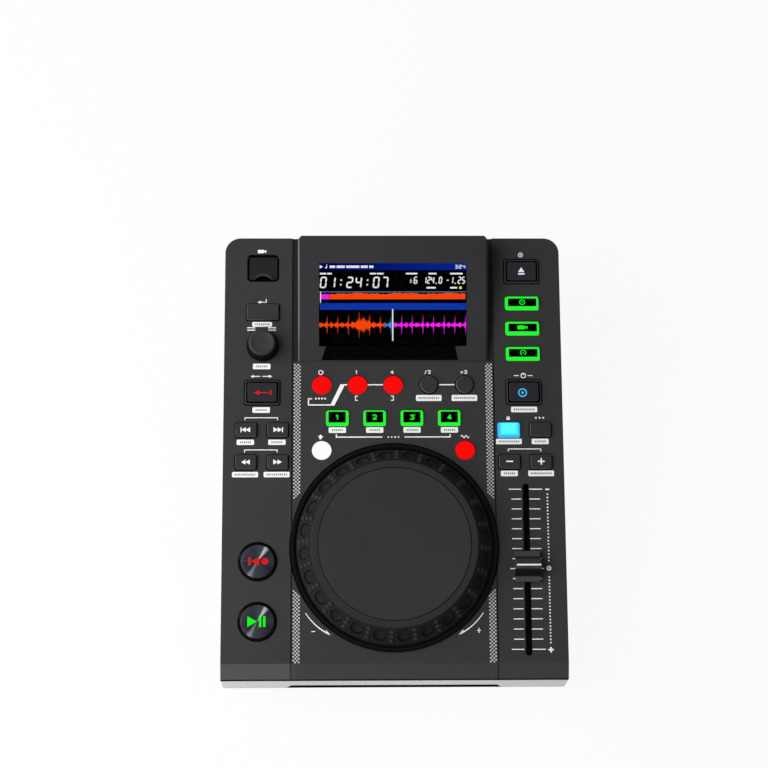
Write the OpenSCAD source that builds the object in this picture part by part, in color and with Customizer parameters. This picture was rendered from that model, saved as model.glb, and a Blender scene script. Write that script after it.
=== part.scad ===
// Table-top player of discs and memory sticks, for a disc jockey.
// A sloped panel carries a large jog wheel, a pitch fader, a browse knob and rows of keys.
// A raised hood at the back holds the display, and a disc slot opens in the front.
// Frame: +X to the right, +Y to the back, +Z up, with the origin on the table under the middle.

/* [Case] */
// Overall width
body_w = 220; // [216:1:240]
// Overall depth
body_d = 285.5; // [282:0.5:320]
// Slope of the top panel in degrees
slope = 7.5; // [5:0.5:10]
// Wall of the moulded cover and the lower case
wall = 2.5; // [2:0.1:3]
// Plan radius of the two rear corners
rear_corner_r = 10; // [6:0.5:14]
// Depth of the front bevel in plan
bevel_d = 9.5; // [7:0.5:12]
// Drop of the front bevel
bevel_drop = 4; // [3:0.5:5]
// Upright edge below the bevel
lip_h = 1; // [0.6:0.1:2]
// Shadow gap between the cover and the front fascia
seam_gap = 0.5; // [0.3:0.1:0.8]
// Depth of the cover's skirt, square to the panel
skirt_h = 8; // [6:0.5:10]
// Height of the front fascia
fascia_h = 25.5; // [23:0.5:34]
// Thickness of the front fascia
fascia_t = 3; // [2.6:0.1:4]
// Height of the lower case in front, below the fascia
plinth_h = 9; // [8:0.5:14]
// How far that lower front is set back
plinth_set = 1.5; // [1:0.1:1.8]
// Floor of the lower case
floor_t = 2; // [1.5:0.1:3]
// Height of the rubber feet
foot_h = 4; // [3:0.5:8]
// Diameter of the rubber feet
foot_dia = 18; // [12:0.5:22]
// Distance of the feet from the case's sides and ends
foot_inset = 24; // [22:0.5:34]
// Grooves between the centre section and the wings, from the middle
groove_x = 65.5; // [65:0.1:67]
// Width of those grooves
groove_w = 0.8; // [0.4:0.1:1.2]
// Depth of the grooves
groove_deep = 0.8; // [0.3:0.1:1.2]

/* [Screen hood] */
// Width of the hood
hood_w = 123.6; // [118:0.2:127]
// Length of the hood along its own face
hood_len = 81.5; // [79:0.5:88]
// Tilt of the hood's face above the panel in degrees
hood_tilt = 12; // [9:0.5:16]
// Step at the hood's front edge
hood_step = 1; // [0.6:0.1:2]
// Wall of the hood
hood_wall = 2.2; // [1.8:0.1:3]
// Chamfer along the hood's side edges
hood_chamfer = 1.2; // [0.6:0.1:2]
// Clear strip behind the hood
hood_rear = 3.4; // [2.6:0.1:8]
// Width of the window
window_w = 96.4; // [92:0.2:104]
// Height of the window
window_d = 54.2; // [50:0.2:58]
// Middle of the window from the hood's front edge
window_at = 36.6; // [34:0.1:40]
// Depth of the channels beside the hood
channel_deep = 1; // [0.4:0.1:1.2]

/* [Jog wheel] */
// Middle of the jog wheel, up the slope from the bevel
jog_v = 73.9; // [72:0.1:78]
// Outer radius of the fixed black ring
jog_bezel_r = 67; // [66:0.5:70]
// Height of the fixed ring
jog_bezel_h = 1.6; // [1:0.1:2.2]
// Outer radius of the turning ring
jog_ring_r = 62.2; // [58:0.1:62.5]
// Height of the jog wheel above the panel
jog_h = 17.6; // [14:0.2:24]
// Radius where the dimpled slope meets the flat land
jog_land_r = 52.6; // [51:0.1:55]
// Radius of the top plate
jog_plate_r = 48.3; // [40:0.1:49]
// Thickness of the top plate
jog_plate_t = 2.2; // [1.6:0.1:3]
// Number of finger dimples
dimple_count = 24; // [12:1:28]
// Width of a finger dimple, round the wheel
dimple_wide = 8.6; // [6:0.1:9]
// Length of a finger dimple, down the slope
dimple_long = 11.8; // [11:0.1:12.6]
// Depth of a finger dimple
dimple_deep = 1.6; // [0.4:0.1:1.8]
// Radius of the jog shaft
jog_shaft_r = 5; // [4:0.5:6]
// Depth of the jog bearing below the panel
bearing_h = 15; // [12:0.5:18]

/* [Browse knob] */
// Place of the knob, down the slope from the rear edge
knob_from_rear = 73; // [72:0.1:76]
// Radius of the knob's top
knob_top_r = 8.8; // [6:0.1:9]
// Radius of the knob's skirt
knob_base_r = 10.5; // [9.4:0.1:10.6]
// Height of the knob above the panel
knob_h = 11.5; // [9:0.1:15]
// Gap under the knob
knob_gap = 0.9; // [0.8:0.1:1.5]
// Radius of the knob's shaft
knob_shaft_r = 3; // [2.5:0.1:3.5]

/* [Pitch fader] */
// Middle of the fader's travel, up the slope from the bevel
fader_v = 59.5; // [58:0.1:62]
// Travel of the fader
fader_travel = 100; // [60:1:100]
// Width of the fader's slot
fader_slot_w = 4.1; // [3.6:0.1:4.5]
// Width of the fader cap
cap_w = 16; // [12:0.5:20]
// Length of the fader cap
cap_d = 19.6; // [16:0.2:24]
// Height of the fader cap above the panel
cap_h = 12; // [9:0.1:14]

/* [Keys] */
// Middle of the side columns from the centre line
side_x = 85; // [84:0.1:86]
// Half the spacing of the paired keys
pair_x = 10.2; // [9:0.1:11]
// How far the keys stand above the panel
key_rise = 1.8; // [1.5:0.1:3]
// How far the keys travel
key_travel = 1.2; // [0.5:0.1:1.4]
// Gap round each key
key_gap = 0.75; // [0.3:0.05:0.9]
// Plan radius of the keys' corners
key_corner_r = 1; // [0.6:0.1:1.5]
// Width of the small keys
small_w = 13.4; // [12:0.1:16]
// Depth of the small keys
small_d = 9; // [8:0.1:12]
// Width of the back key
wide_w = 20.8; // [16:0.1:24]
// Depth of the back key
wide_d = 10.6; // [8:0.1:13]
// Width of the framed keys
framed_w = 22.4; // [20:0.1:27]
// Depth of the framed keys
framed_d = 15.8; // [14:0.1:19]
// Frame round the framed keys' tops
frame_w = 1.8; // [1.2:0.1:2.5]
// Width of the source keys
source_w = 20.9; // [18:0.1:26]
// Depth of the source keys
source_d = 8.2; // [8:0.1:12]
// Width of the hot cue pads
pad_w = 13.2; // [12:0.1:18]
// Depth of the hot cue pads
pad_d = 9.4; // [9:0.1:12]
// Diameter of the round keys
round_dia = 11.2; // [10:0.1:14]
// Diameter of the cue and play keys
transport_dia = 23.8; // [20:0.1:26]

/* [Key rows] */
// Reverse and jog mode keys, up the slope from the bevel
mode_v = 174.4; // [173:0.1:176]
// Upper pairs of keys
upper_v = 149.6; // [148:0.1:150]
// Lower pairs of keys
lower_v = 128.5; // [128:0.1:131]
// Loop keys
loop_v = 179.5; // [178:0.1:181]
// Pitch of the loop keys
loop_pitch = 23.2; // [20:0.1:24]
// Hot cue pads
pad_v = 157.6; // [156:0.1:159]
// Pitch of the hot cue pads
pad_pitch = 24.2; // [20:0.1:25]
// Shift and slip keys
shift_v = 136.5; // [136:0.1:138]
// Cue key
cue_v = 64.5; // [62:0.1:68]
// Play key
play_v = 26.4; // [24:0.1:30]
// Cue and play keys from the centre line
transport_x = 87; // [86:0.1:89]
// Back key, down the slope from the rear edge
back_from_rear = 50.4; // [49:0.1:53]
// Eject key, down the slope from the rear edge
eject_from_rear = 22.8; // [21:0.1:25]
// First source key, down the slope from the rear edge
source_from_rear = 44.2; // [43:0.1:46]
// Pitch of the source keys
source_pitch = 17; // [15:0.1:17.5]

/* [Stick well] */
// Middle of the memory stick well, down the slope from the rear edge
well_from_rear = 20.4; // [19:0.1:23]
// Width of the well
well_w = 21; // [19:0.1:23]
// Depth of the well across the slope
well_d = 18.5; // [17:0.1:20]
// Depth of the well into the panel
well_h = 4.6; // [4:0.1:6]
// Thickness of the flap over the well
flap_t = 1.6; // [1.2:0.1:2]
// How far the flap lies below the panel
flap_set = 0.8; // [0.6:0.1:1.2]
// Gap round the flap
flap_gap = 1.3; // [0.5:0.1:1.5]

/* [Disc drive] */
// Width of the disc slot
slot_w = 124; // [122:0.5:128]
// Height of the disc slot
slot_h = 5.2; // [4.6:0.1:6]
// Width of the disc drive
drive_w = 136; // [132:1:150]
// Depth of the disc drive
drive_d = 134; // [130:1:140]

/* [Rear] */
// How far the rear panel is set in from the back
rear_set = 9.5; // [9.2:0.1:14]
// Thickness of the rear panel
rear_t = 1.5; // [1:0.1:2]
// Height of the sockets and the power switch
rear_z = 38; // [34:0.5:44]
// Radius of the audio sockets
socket_r = 4.15; // [4:0.05:4.3]
// Length of the audio sockets
socket_len = 8.6; // [8:0.1:9]

/* [Hidden] */
$fn = 64;

// Running and assembly clearances
run_fit = 0.05;
free_fit = 0.3;
cut = 1;

// Places are given for this width of case and depth of panel, and follow both
layout_w = 220;
layout_d = 276;
in_width = body_w / layout_w;
in_depth = (body_d - bevel_d) / layout_d;
in_both = min(in_width, in_depth);

// Across the panel
column_x = side_x * in_width;
pair_off = pair_x * in_width;
transport_at = transport_x * in_width;
loop_step = loop_pitch * in_width;
pad_step = pad_pitch * in_width;
groove_at = groove_x * in_width;
hood_wide = hood_w * in_width;
window_wide = window_w * in_width;

// Up the panel
hood_long = hood_len * in_depth;
window_long = window_d * in_depth;
window_mid = window_at * in_depth;
jog_mid = jog_v * in_depth;
fader_mid = fader_v * in_depth;
fader_run = fader_travel * in_depth;
mode_row = mode_v * in_depth;
upper_row = upper_v * in_depth;
lower_row = lower_v * in_depth;
loop_row = loop_v * in_depth;
pad_row = pad_v * in_depth;
shift_row = shift_v * in_depth;
cue_row = cue_v * in_depth;
play_row = play_v * in_depth;
source_step = source_pitch * in_depth;

// Round the jog wheel
bezel_r = jog_bezel_r * in_both;
ring_r = jog_ring_r * in_both;
land_r = jog_land_r * in_both;
plate_r = jog_plate_r * in_both;

// Levels and ends of the case
front_y = -body_d / 2;
back_y = body_d / 2;
bevel_y = front_y + bevel_d;
floor_top = foot_h + floor_t;
plinth_top = foot_h + plinth_h;
fascia_top = plinth_top + fascia_h;
lip_z = fascia_top + seam_gap;
bevel_z = lip_z + lip_h + bevel_drop;
top_len = (body_d - bevel_d) / cos(slope);
bevel_a = atan(bevel_drop / bevel_d);
wall_z = wall / cos(slope);
skirt_z = skirt_h / cos(slope);
tall = 2 * bevel_z + body_d * tan(slope);

// Height of the panel, of its underside and of the bevel's underside at a given depth
function panel_z(y) = bevel_z + (y - bevel_y) * tan(slope);
function under_panel_z(y) = panel_z(y) - wall_z;
function under_bevel_z(y) = bevel_z - wall / cos(bevel_a) + (y - bevel_y) * tan(bevel_a);
under_y = bevel_y + wall * (1 / cos(bevel_a) - 1 / cos(slope)) / (tan(bevel_a) - tan(slope));

// Hood, in the panel's own axes
hood_v0 = top_len - hood_rear - hood_long * cos(hood_tilt);
hood_v1 = hood_v0 + hood_long * cos(hood_tilt);
hood_n1 = hood_step + hood_long * sin(hood_tilt);
hood_lean = 0.5;
hood_corner_r = 4.5;
function hood_back_v(n) = hood_v1 + hood_lean * (1 - n / hood_n1);
display_w = window_wide + 9.6;
display_d = window_long + 7.8;
display_t = 4;

// Rows that follow the rear edge
back_v = top_len - back_from_rear * in_depth;
knob_v = top_len - knob_from_rear * in_depth;
eject_v = top_len - eject_from_rear * in_depth;
source_v = top_len - source_from_rear * in_depth;
well_v = top_len - well_from_rear * in_depth;

// Key stack under the panel: flange, stem, switch and control board
flange_gap = 0.1;
flange_t = 1.2;
flange_rim = 1.2;
stem_r = 1.5;
switch_w = 6;
encoder_w = 13;
switch_top = wall + flange_gap + flange_t + key_travel + 0.6;
stem_end = switch_top + 0.5;
board_top = stem_end + key_travel + 1.2;
board_t = 1.6;

KEYS = [
    ["back_key", "wide", -column_x, back_v],
    ["reverse_key", "framed", -column_x, mode_row],
    ["track_back_key", "small", -column_x - pair_off, upper_row],
    ["track_next_key", "small", -column_x + pair_off, upper_row],
    ["search_back_key", "small", -column_x - pair_off, lower_row],
    ["search_next_key", "small", -column_x + pair_off, lower_row],
    ["cue_key", "transport", -transport_at, cue_row],
    ["play_key", "transport", -transport_at, play_row],
    ["eject_key", "framed", column_x, eject_v],
    ["source_disc_key", "source", column_x, source_v],
    ["source_stick_key", "source", column_x, source_v - source_step],
    ["source_link_key", "source", column_x, source_v - 2 * source_step],
    ["jog_mode_key", "framed", column_x, mode_row],
    ["key_lock_key", "lit", column_x - pair_off, upper_row],
    ["tap_key", "small", column_x + pair_off, upper_row],
    ["bend_minus_key", "small", column_x - pair_off, lower_row],
    ["bend_plus_key", "small", column_x + pair_off, lower_row],
    ["loop_auto_key", "ring", -2 * loop_step, loop_row],
    ["loop_in_key", "ring", -loop_step, loop_row],
    ["loop_out_key", "ring", 0, loop_row],
    ["loop_half_key", "round", loop_step, loop_row],
    ["loop_double_key", "round", 2 * loop_step, loop_row],
    ["hot_cue_1_key", "pad", -1.5 * pad_step, pad_row],
    ["hot_cue_2_key", "pad", -0.5 * pad_step, pad_row],
    ["hot_cue_3_key", "pad", 0.5 * pad_step, pad_row],
    ["hot_cue_4_key", "pad", 1.5 * pad_step, pad_row],
    ["shift_key", "white", -2 * loop_step, shift_row],
    ["slip_key", "ring", 2 * loop_step, shift_row]
];

// Style of key: width, depth (0 on a round key) and colour
STYLES = [
    ["wide", wide_w, wide_d, "#3c3c3c"],
    ["framed", framed_w, framed_d, "#444446"],
    ["small", small_w, small_d, "#383838"],
    ["lit", small_w, small_d, "#1ebeff"],
    ["source", source_w, source_d, "#22f53a"],
    ["pad", pad_w, pad_d, "#22f53a"],
    ["ring", round_dia, 0, "#e01010"],
    ["round", round_dia, 0, "#333333"],
    ["white", round_dia, 0, "#f4f4f4"],
    ["transport", transport_dia, 0, "#b8b8b8"]
];
function style(k) = STYLES[search([k[1]], STYLES)[0]];

// Posts for the case screws, bosses for the control board and feet
post_r = 4;
post_x = body_w / 2 - wall - 0.5 - post_r;
post_mid_y = -30;
POSTS = [for (x = [-post_x, post_x], y = [front_y + 18, post_mid_y, back_y - 25]) [x, y]];
screw_r = 1.5;
screw_len = 12;
screw_head_r = 2.9;
screw_head_h = 2;
screw_cross = 3.6;
screw_cross_w = 0.8;
boss_r = 3.5;
boss_x = 60 * in_width;
arm_x = 66 * in_width;
boss_low_v = 24 * in_depth;
boss_mid_v = 122 * in_depth;
boss_off = 12;
BOSSES = [
    [-boss_x, boss_low_v], [boss_x, boss_low_v], [-boss_x, boss_mid_v], [boss_x, boss_mid_v],
    [-arm_x, mode_row + boss_off], [arm_x, mode_row + boss_off],
    [-arm_x, back_v + 8], [arm_x, eject_v]
];
foot_x = body_w / 2 - foot_inset;
foot_y = body_d / 2 - foot_inset - 4;
FEET = [for (x = [-1, 1], y = [-1, 1]) [x * foot_x, y * foot_y]];

// Main board on the floor, with its parts as x, y, width, depth and height
standoff_h = 7;
board_w = 140;
board_y0 = 18;
board_y1 = 112;
board_hole = 6;
BLOCKS = [[-20, 50, 30, 30, 10], [26, 56, 18, 18, 2], [26, 30, 26, 10, 6], [-64, 26, 9, 48, 7]];
can_r = 4;
can_h = 13;
can_y = 98;
CANS = [-58, -46, -34, -22];

// Vents in the floor and the window in the rear wall
vent_count = 9;
vent_pitch = 6;
vent_y = 30;
vent_w = 2.4;
vent_len = 26;
vent_x = 85 * in_width;
rear_window_w = body_w - 36;
rear_window_h = 44;

// Slot, felt and drive
slot_z = plinth_top + 0.8;
slot_top = slot_z + slot_h;
felt_t = 1.2;
felt_rim = 2.8;
notch_rim = 4;
notch_over = 2.2;
notch_slant = 3;
drive_y = front_y + fascia_t + felt_t + 0.2;
deck_z = slot_z - 0.2;
rail_top = slot_top + 0.2;
stop_t = 3;
spindle_y = drive_y + drive_d / 2 - 2;
spindle_sunk = 3;
spindle_well_r = 17;
spindle_r = 7.4;
spindle_h = 2.6;
lid_t = 1.6;
lid_dish_r = 40;

// Jog stack, measured square to the panel
jog_gap = 1;
flange_top = 3.4;
web_t = 3;
bearing_top = 1;
jog_bore_r = jog_shaft_r + run_fit;
boss_ring_r = 16;
bearing_r = 9;
bearing_rim_r = 26;
bearing_rim_t = 2.5;
shaft_flange_r = 12;
shaft_tail = 4;
encoder_r = 22;
encoder_t = 1.6;
encoder_slot_r = 18;

// Slope of the dimpled ring, from its outer foot to the land
land_edge = 0.6;
jog_foot_n = 3;
jog_edge_n = jog_h - land_edge;
ring_a = atan2(jog_edge_n - jog_foot_n, ring_r - land_r - land_edge);
ring_t = 3;
ledge_w = 4.5;
plate_set = 0.1;
dimple_turn = 5.4;

// Fader stack
fader_slot = fader_run + 10;
lever_d = 3.6;
// Thickness of the cap above the lever's end
lever_cover = 4.5;
// The cap sits a little behind the middle of its lever
cap_off = 1.3;
carriage_d = 9.6;
track_d = fader_run + carriage_d + 1.4;
fader_body_w = 12;
fader_body_h = 13;
track_w = 8.2;
fader_skin = 1.5;

// Stick well and flap
well_wall = 2;
hinge_v = well_v + well_d / 2 - flap_gap - flap_t / 2;
hinge_n = -flap_set - flap_t / 2;
well_corner_r = 3;
flap_corner_r = 2;
pin_r = 0.7;
notch_r = 6.8;
notch_out = 3.8;
grip_w = 1.5;
grip_h = 0.5;
stick_w = 12.6;
stick_d = 5.5;
shell_t = 0.9;
shell_h = 13;

// Rear sockets and switch
panel_out = back_y - rear_set;
SOCKETS = [38 * in_width, 56 * in_width, 74 * in_width];
socket_flange_r = 6;
socket_flange_t = 1.2;
socket_tail = 6;
socket_block_w = 12;
socket_block_d = 14;
entry_x = -66 * in_width;
entry_w = 44;
entry_h = 24;
entry_t = 2;
entry_deep = 16;
rocker_off = 10;
jack_off = 12;
jack_r = 3.1;
jack_deep = 10;
jack_pin_r = 1;
rocker_x = entry_x - rocker_off;
jack_x = entry_x + jack_off;
rocker_well = 15;
rocker_w = 10.4;
rocker_r = 9;
rocker_pin_r = 1;
rocker_tilt = 8;
rocker_y = panel_out + entry_t - 4;

// Axes of the panel: x across, y up the slope from the bevel, z out of the panel
module on_panel(x = 0, v = 0) {
    translate([0, bevel_y, bevel_z]) rotate([slope, 0, 0]) translate([x, v, 0]) children();
}

// Axes of the hood's face, from its front edge
module on_hood() {
    on_panel(0, hood_v0) translate([0, 0, hood_step]) rotate([hood_tilt, 0, 0]) children();
}

// A side outline, given as depth and height, carried across the width
module across(w) {
    rotate([90, 0, 90]) linear_extrude(w, center = true) children();
}

// A front outline, given as width and height, carried along the depth
module along(d) {
    rotate([90, 0, 0]) linear_extrude(d, center = true) children();
}

module rounded(w, d, r) {
    square([w - 2 * r, d], center = true);
    square([w, d - 2 * r], center = true);
    for (x = [-1, 1], y = [-1, 1]) translate([x * (w / 2 - r), y * (d / 2 - r)]) circle(r);
}

// Plan of the case with its rear corners rounded, drawn in by a margin
module case_plan(inset) {
    r = rear_corner_r - inset;
    half = body_w / 2 - inset;
    length = body_d - 2 * inset;
    translate([-half, front_y + inset]) square([2 * half, length - r]);
    translate([r - half, front_y + inset]) square([2 * (half - r), length]);
    for (x = [-1, 1]) translate([x * (half - r), back_y - inset - r]) circle(r);
}

// A block with its four top edges chamfered
module chamfered(w, d, z0, z1, c) {
    intersection() {
        along(d) chamfer_outline(w, z0, z1, c);
        across(w) chamfer_outline(d, z0, z1, c);
    }
}

module chamfer_outline(w, z0, z1, c) {
    half = w / 2;
    polygon([[-half, z0], [half, z0], [half, z1 - c], [half - c, z1], [c - half, z1], [-half, z1 - c]]);
}

// A disc with its top edge chamfered
module chamfered_disc(r, z0, z1, c) {
    rotate_extrude() polygon([[0, z0], [r, z0], [r, z1 - c], [r - c, z1], [0, z1]]);
}

// Everything deeper than a given depth below the panel and the bevel
module above_surface(w, deep) {
    across(w) polygon([
        [front_y - cut, panel_z(front_y) - bevel_drop - deep],
        [front_y, lip_z + lip_h - deep], [bevel_y, bevel_z - deep],
        [back_y + cut, panel_z(back_y + cut) - deep], [back_y + cut, tall], [front_y - cut, tall]
    ]);
}

module key_outline(k, margin) {
    s = style(k);
    if (s[2] == 0) circle(s[1] / 2 + margin);
    else rounded(s[1] + 2 * margin, s[2] + 2 * margin, key_corner_r + margin);
}

module top_cover() {
    color("#3b3b3b") {
        difference() {
            cover_shell();
            for (x = [-1, 1]) translate([x * groove_at, 0, 0]) above_surface(groove_w, groove_deep);
            for (x = [-1, 1]) hood_channel(x);
            on_panel() translate([0, 0, -wall - cut]) linear_extrude(wall + 2 * cut) cover_holes();
            on_panel(-column_x, well_v) translate([0, 0, -wall - cut])
                linear_extrude(wall + 2 * cut) rounded(well_w, well_d, well_corner_r);
            flap_bores();
        }
        stick_well();
        for (b = BOSSES) on_panel(b[0], b[1]) translate([0, 0, -board_top])
            cylinder(r = boss_r, h = board_top - wall + 0.5);
        for (p = POSTS) screw_post(p);
    }
}

module cover_shell() {
    part_y = front_y + fascia_t;
    difference() {
        intersection() {
            across(body_w) polygon([
                [front_y, lip_z], [front_y, lip_z + lip_h], [bevel_y, bevel_z], [back_y, panel_z(back_y)],
                [back_y, panel_z(back_y) - skirt_z], [part_y, panel_z(part_y) - skirt_z], [part_y, lip_z]
            ]);
            linear_extrude(tall) case_plan(0);
        }
        intersection() {
            across(body_w) polygon([
                [part_y - cut, 0], [part_y - cut, under_bevel_z(part_y - cut)],
                [under_y, under_panel_z(under_y)], [back_y - wall, under_panel_z(back_y - wall)],
                [back_y - wall, 0]
            ]);
            linear_extrude(tall) case_plan(wall);
        }
    }
}

// Sunk strip between the hood and the groove
module hood_channel(side) {
    inner = hood_wide / 2;
    outer = groove_at - groove_w / 2;
    on_panel(side * (inner + outer) / 2, hood_v0 + top_len / 2)
        translate([0, 0, tall / 2 - channel_deep]) cube([outer - inner, top_len, tall], center = true);
}

module cover_holes() {
    for (k = KEYS) translate([k[2], k[3]]) key_outline(k, key_gap);
    translate([0, jog_mid]) circle(boss_ring_r + free_fit);
    translate([-column_x, knob_v]) circle(knob_shaft_r + 1.4);
    translate([column_x, fader_mid]) rounded(fader_slot_w, fader_slot, fader_slot_w / 2 - 0.1);
    opening_d = display_d + 4;
    translate([0, hood_v0 + window_mid * cos(hood_tilt) + 1.2])
        square([display_w + 2, opening_d], center = true);
}

// Open box under the panel that the memory stick's socket is fixed to
module stick_well() {
    difference() {
        on_panel(-column_x, well_v) difference() {
            translate([0, 0, -well_h - well_wall]) linear_extrude(well_h + well_wall - wall + 0.5)
                square([well_w + 2 * well_wall, well_d + 2 * well_wall], center = true);
            translate([0, 0, -well_h]) linear_extrude(well_h + cut) rounded(well_w, well_d, well_corner_r);
            translate([0, 0, -well_h - well_wall / 2])
                cube([stick_w, stick_d, well_wall + 2 * cut], center = true);
        }
        flap_bores();
    }
}

module flap_bores() {
    on_panel(-column_x, hinge_v) translate([0, 0, hinge_n]) rotate([0, 90, 0])
        cylinder(r = pin_r + run_fit, h = well_w + 2 * well_wall - 0.8, center = true);
}

module screw_post(p) {
    top = under_panel_z(p[1]) + wall_z / 2;
    difference() {
        translate([p[0], p[1], floor_top]) cylinder(r = post_r, h = top - floor_top);
        translate([p[0], p[1], floor_top - cut])
            cylinder(r = screw_r + run_fit, h = screw_len - floor_t + 2 * cut);
    }
}

module lower_case() {
    color("#2e2e30") {
        difference() {
            intersection() {
                translate([0, 0, foot_h]) linear_extrude(tall) case_plan(0);
                across(body_w) polygon([
                    [front_y - cut, 0], [front_y - cut, panel_z(front_y - cut) - skirt_z],
                    [back_y + cut, panel_z(back_y + cut) - skirt_z], [back_y + cut, 0]
                ]);
            }
            translate([0, 0, floor_top]) linear_extrude(tall) case_plan(wall);
            translate([-body_w, front_y - cut, 0]) cube([2 * body_w, plinth_set + cut, plinth_top]);
            translate([-body_w, front_y - cut, plinth_top]) cube([2 * body_w, fascia_t + cut, tall]);
            translate([0, back_y, rear_z]) cube([rear_window_w, 4 * wall, rear_window_h], center = true);
            for (p = POSTS) translate([p[0], p[1], 0]) cylinder(r = screw_r + 0.2, h = tall);
            for (x = [-1, 1], i = [0:vent_count - 1])
                translate([x * vent_x, vent_y + i * vent_pitch, foot_h])
                    cube([vent_len, vent_w, 4 * floor_t], center = true);
        }
        translate([wall / 2 - body_w / 2, front_y + plinth_set, foot_h])
            cube([body_w - wall, wall, slot_z - felt_rim - free_fit - foot_h]);
        for (x = [-1, 1], y = [board_y0 + board_hole, board_y1 - board_hole])
            translate([x * (board_w / 2 - board_hole), y, floor_top]) cylinder(r = boss_r, h = standoff_h);
    }
}

module front_fascia() {
    notch_top = slot_top + notch_over - plinth_top;
    notch_half = slot_w / 2 + notch_rim;
    notch_low = notch_half + notch_slant;
    color("#c4c4c4") difference() {
        translate([-body_w / 2, front_y, plinth_top]) cube([body_w, fascia_t, fascia_h]);
        translate([0, front_y + fascia_t / 2, plinth_top]) along(fascia_t + 2 * cut) polygon([
            [-notch_low, -cut], [notch_low, -cut], [notch_low, 0],
            [notch_half, notch_top], [-notch_half, notch_top], [-notch_low, 0]
        ]);
    }
}

module slot_felt() {
    color("#141414") translate([0, front_y + fascia_t + felt_t / 2, (slot_z + slot_top) / 2]) difference() {
        cube([slot_w + 6 * felt_rim, felt_t, slot_h + 2 * felt_rim], center = true);
        cube([slot_w, felt_t + 2 * cut, slot_h], center = true);
    }
}

module rear_panel() {
    w = body_w - 2 * wall - 1;
    h = panel_z(panel_out - rear_t) - (well_h + well_wall) / cos(slope) - 2 * free_fit - floor_top;
    color("#1c1c1c") difference() {
        translate([-w / 2, panel_out - rear_t, floor_top]) cube([w, rear_t, h]);
        for (x = SOCKETS) translate([x, panel_out, rear_z]) rotate([90, 0, 0])
            cylinder(r = socket_r + free_fit, h = 4 * rear_t, center = true);
        translate([entry_x, panel_out, rear_z]) cube([entry_w - 4, 4 * rear_t, entry_h - 3], center = true);
    }
}

module screen_hood() {
    reach = hood_long + 40;
    over = hood_n1 + 5;
    color("#38383a") difference() {
        intersection() {
            on_panel() across(hood_wide) polygon([
                [hood_v0, 0], [hood_v0, over], [hood_back_v(over), over], [hood_back_v(0), 0]
            ]);
            on_hood() translate([0, hood_long / 2, 0]) along(reach)
                chamfer_outline(hood_wide, -tall, 0, hood_chamfer);
            on_panel(0, hood_back_v(0) - reach / 2) linear_extrude(tall) hood_plan(reach);
        }
        intersection() {
            on_panel() across(hood_wide - 2 * hood_wall) polygon([
                [hood_v0 + 1, -cut], [hood_v0 + 1, hood_n1], [hood_back_v(hood_n1) - hood_wall, hood_n1],
                [hood_back_v(-cut) - hood_wall, -cut]
            ]);
            on_hood() translate([0, hood_long / 2, -hood_wall - tall / 2])
                cube([hood_wide, reach, tall], center = true);
        }
        on_hood() translate([0, window_mid, 0])
            cube([window_wide, window_long, 4 * hood_wall], center = true);
    }
}

// Plan of the hood with its two rear corners rounded
module hood_plan(reach) {
    r = hood_corner_r;
    translate([0, -r / 2]) square([hood_wide, reach - r], center = true);
    square([hood_wide - 2 * r, reach], center = true);
    for (x = [-1, 1]) translate([x * (hood_wide / 2 - r), reach / 2 - r]) circle(r);
}

module screen_window() {
    t = hood_wall - 0.15;
    color("#0a0a10") on_hood() translate([0, window_mid, t / 2 - hood_wall])
        cube([window_wide - 2 * run_fit, window_long - 2 * run_fit, t], center = true);
}

module display_panel() {
    color("#606468") on_hood() translate([0, window_mid, -hood_wall - display_t / 2])
        cube([display_w, display_d, display_t], center = true);
}

module disc_drive_base() {
    rail_w = (drive_w - slot_w - 1) / 2;
    color("#8c9094") {
        difference() {
            translate([-drive_w / 2, drive_y, floor_top]) cube([drive_w, drive_d, rail_top - floor_top]);
            translate([rail_w - drive_w / 2, drive_y - cut, deck_z])
                cube([drive_w - 2 * rail_w, drive_d + cut - stop_t, tall]);
            translate([0, spindle_y, deck_z - spindle_sunk]) cylinder(r = spindle_well_r, h = tall);
        }
        translate([0, spindle_y, deck_z - spindle_sunk]) cylinder(r = spindle_r, h = spindle_h);
    }
}

module disc_drive_lid() {
    color("#a8acb0") difference() {
        translate([-drive_w / 2, drive_y, rail_top]) cube([drive_w, drive_d, lid_t]);
        translate([0, drive_y + drive_d / 2, rail_top + lid_t / 2]) cylinder(r = lid_dish_r, h = lid_t);
    }
}

module main_board() {
    z = floor_top + standoff_h;
    color("#1f5a34") {
        translate([-board_w / 2, board_y0, z]) cube([board_w, board_y1 - board_y0, board_t]);
        for (b = BLOCKS) translate([b[0], b[1], z + board_t]) cube([b[2], b[3], b[4]]);
        for (x = CANS) translate([x, can_y, z + board_t]) cylinder(r = can_r, h = can_h);
    }
}

module control_board() {
    half = column_x + pair_off + switch_w / 2;
    color("#24603a") on_panel() translate([0, 0, -board_top - board_t]) linear_extrude(board_t)
        difference() {
            translate([-half, 8]) square([2 * half, eject_v + framed_d / 2 - 8]);
            translate([4 - hood_wide / 2, hood_v0 - 7]) square([hood_wide - 8, top_len]);
            translate([-body_w, well_v - well_d / 2 - well_wall - 2]) square([body_w, top_len]);
            translate([column_x, fader_mid]) square([fader_body_w + 3, track_d + 8], center = true);
            translate([0, jog_mid]) circle(bearing_rim_r + 4);
        }
}

module key_switches() {
    color("#4a4a4e") {
        for (k = KEYS) on_panel(k[2], k[3]) translate([0, 0, -board_top]) difference() {
            translate([-switch_w / 2, -switch_w / 2, 0]) cube([switch_w, switch_w, board_top - switch_top]);
            translate([0, 0, 0.6]) cylinder(r = stem_r + free_fit, h = board_top);
        }
        on_panel(-column_x, knob_v) browse_encoder();
    }
}

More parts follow.
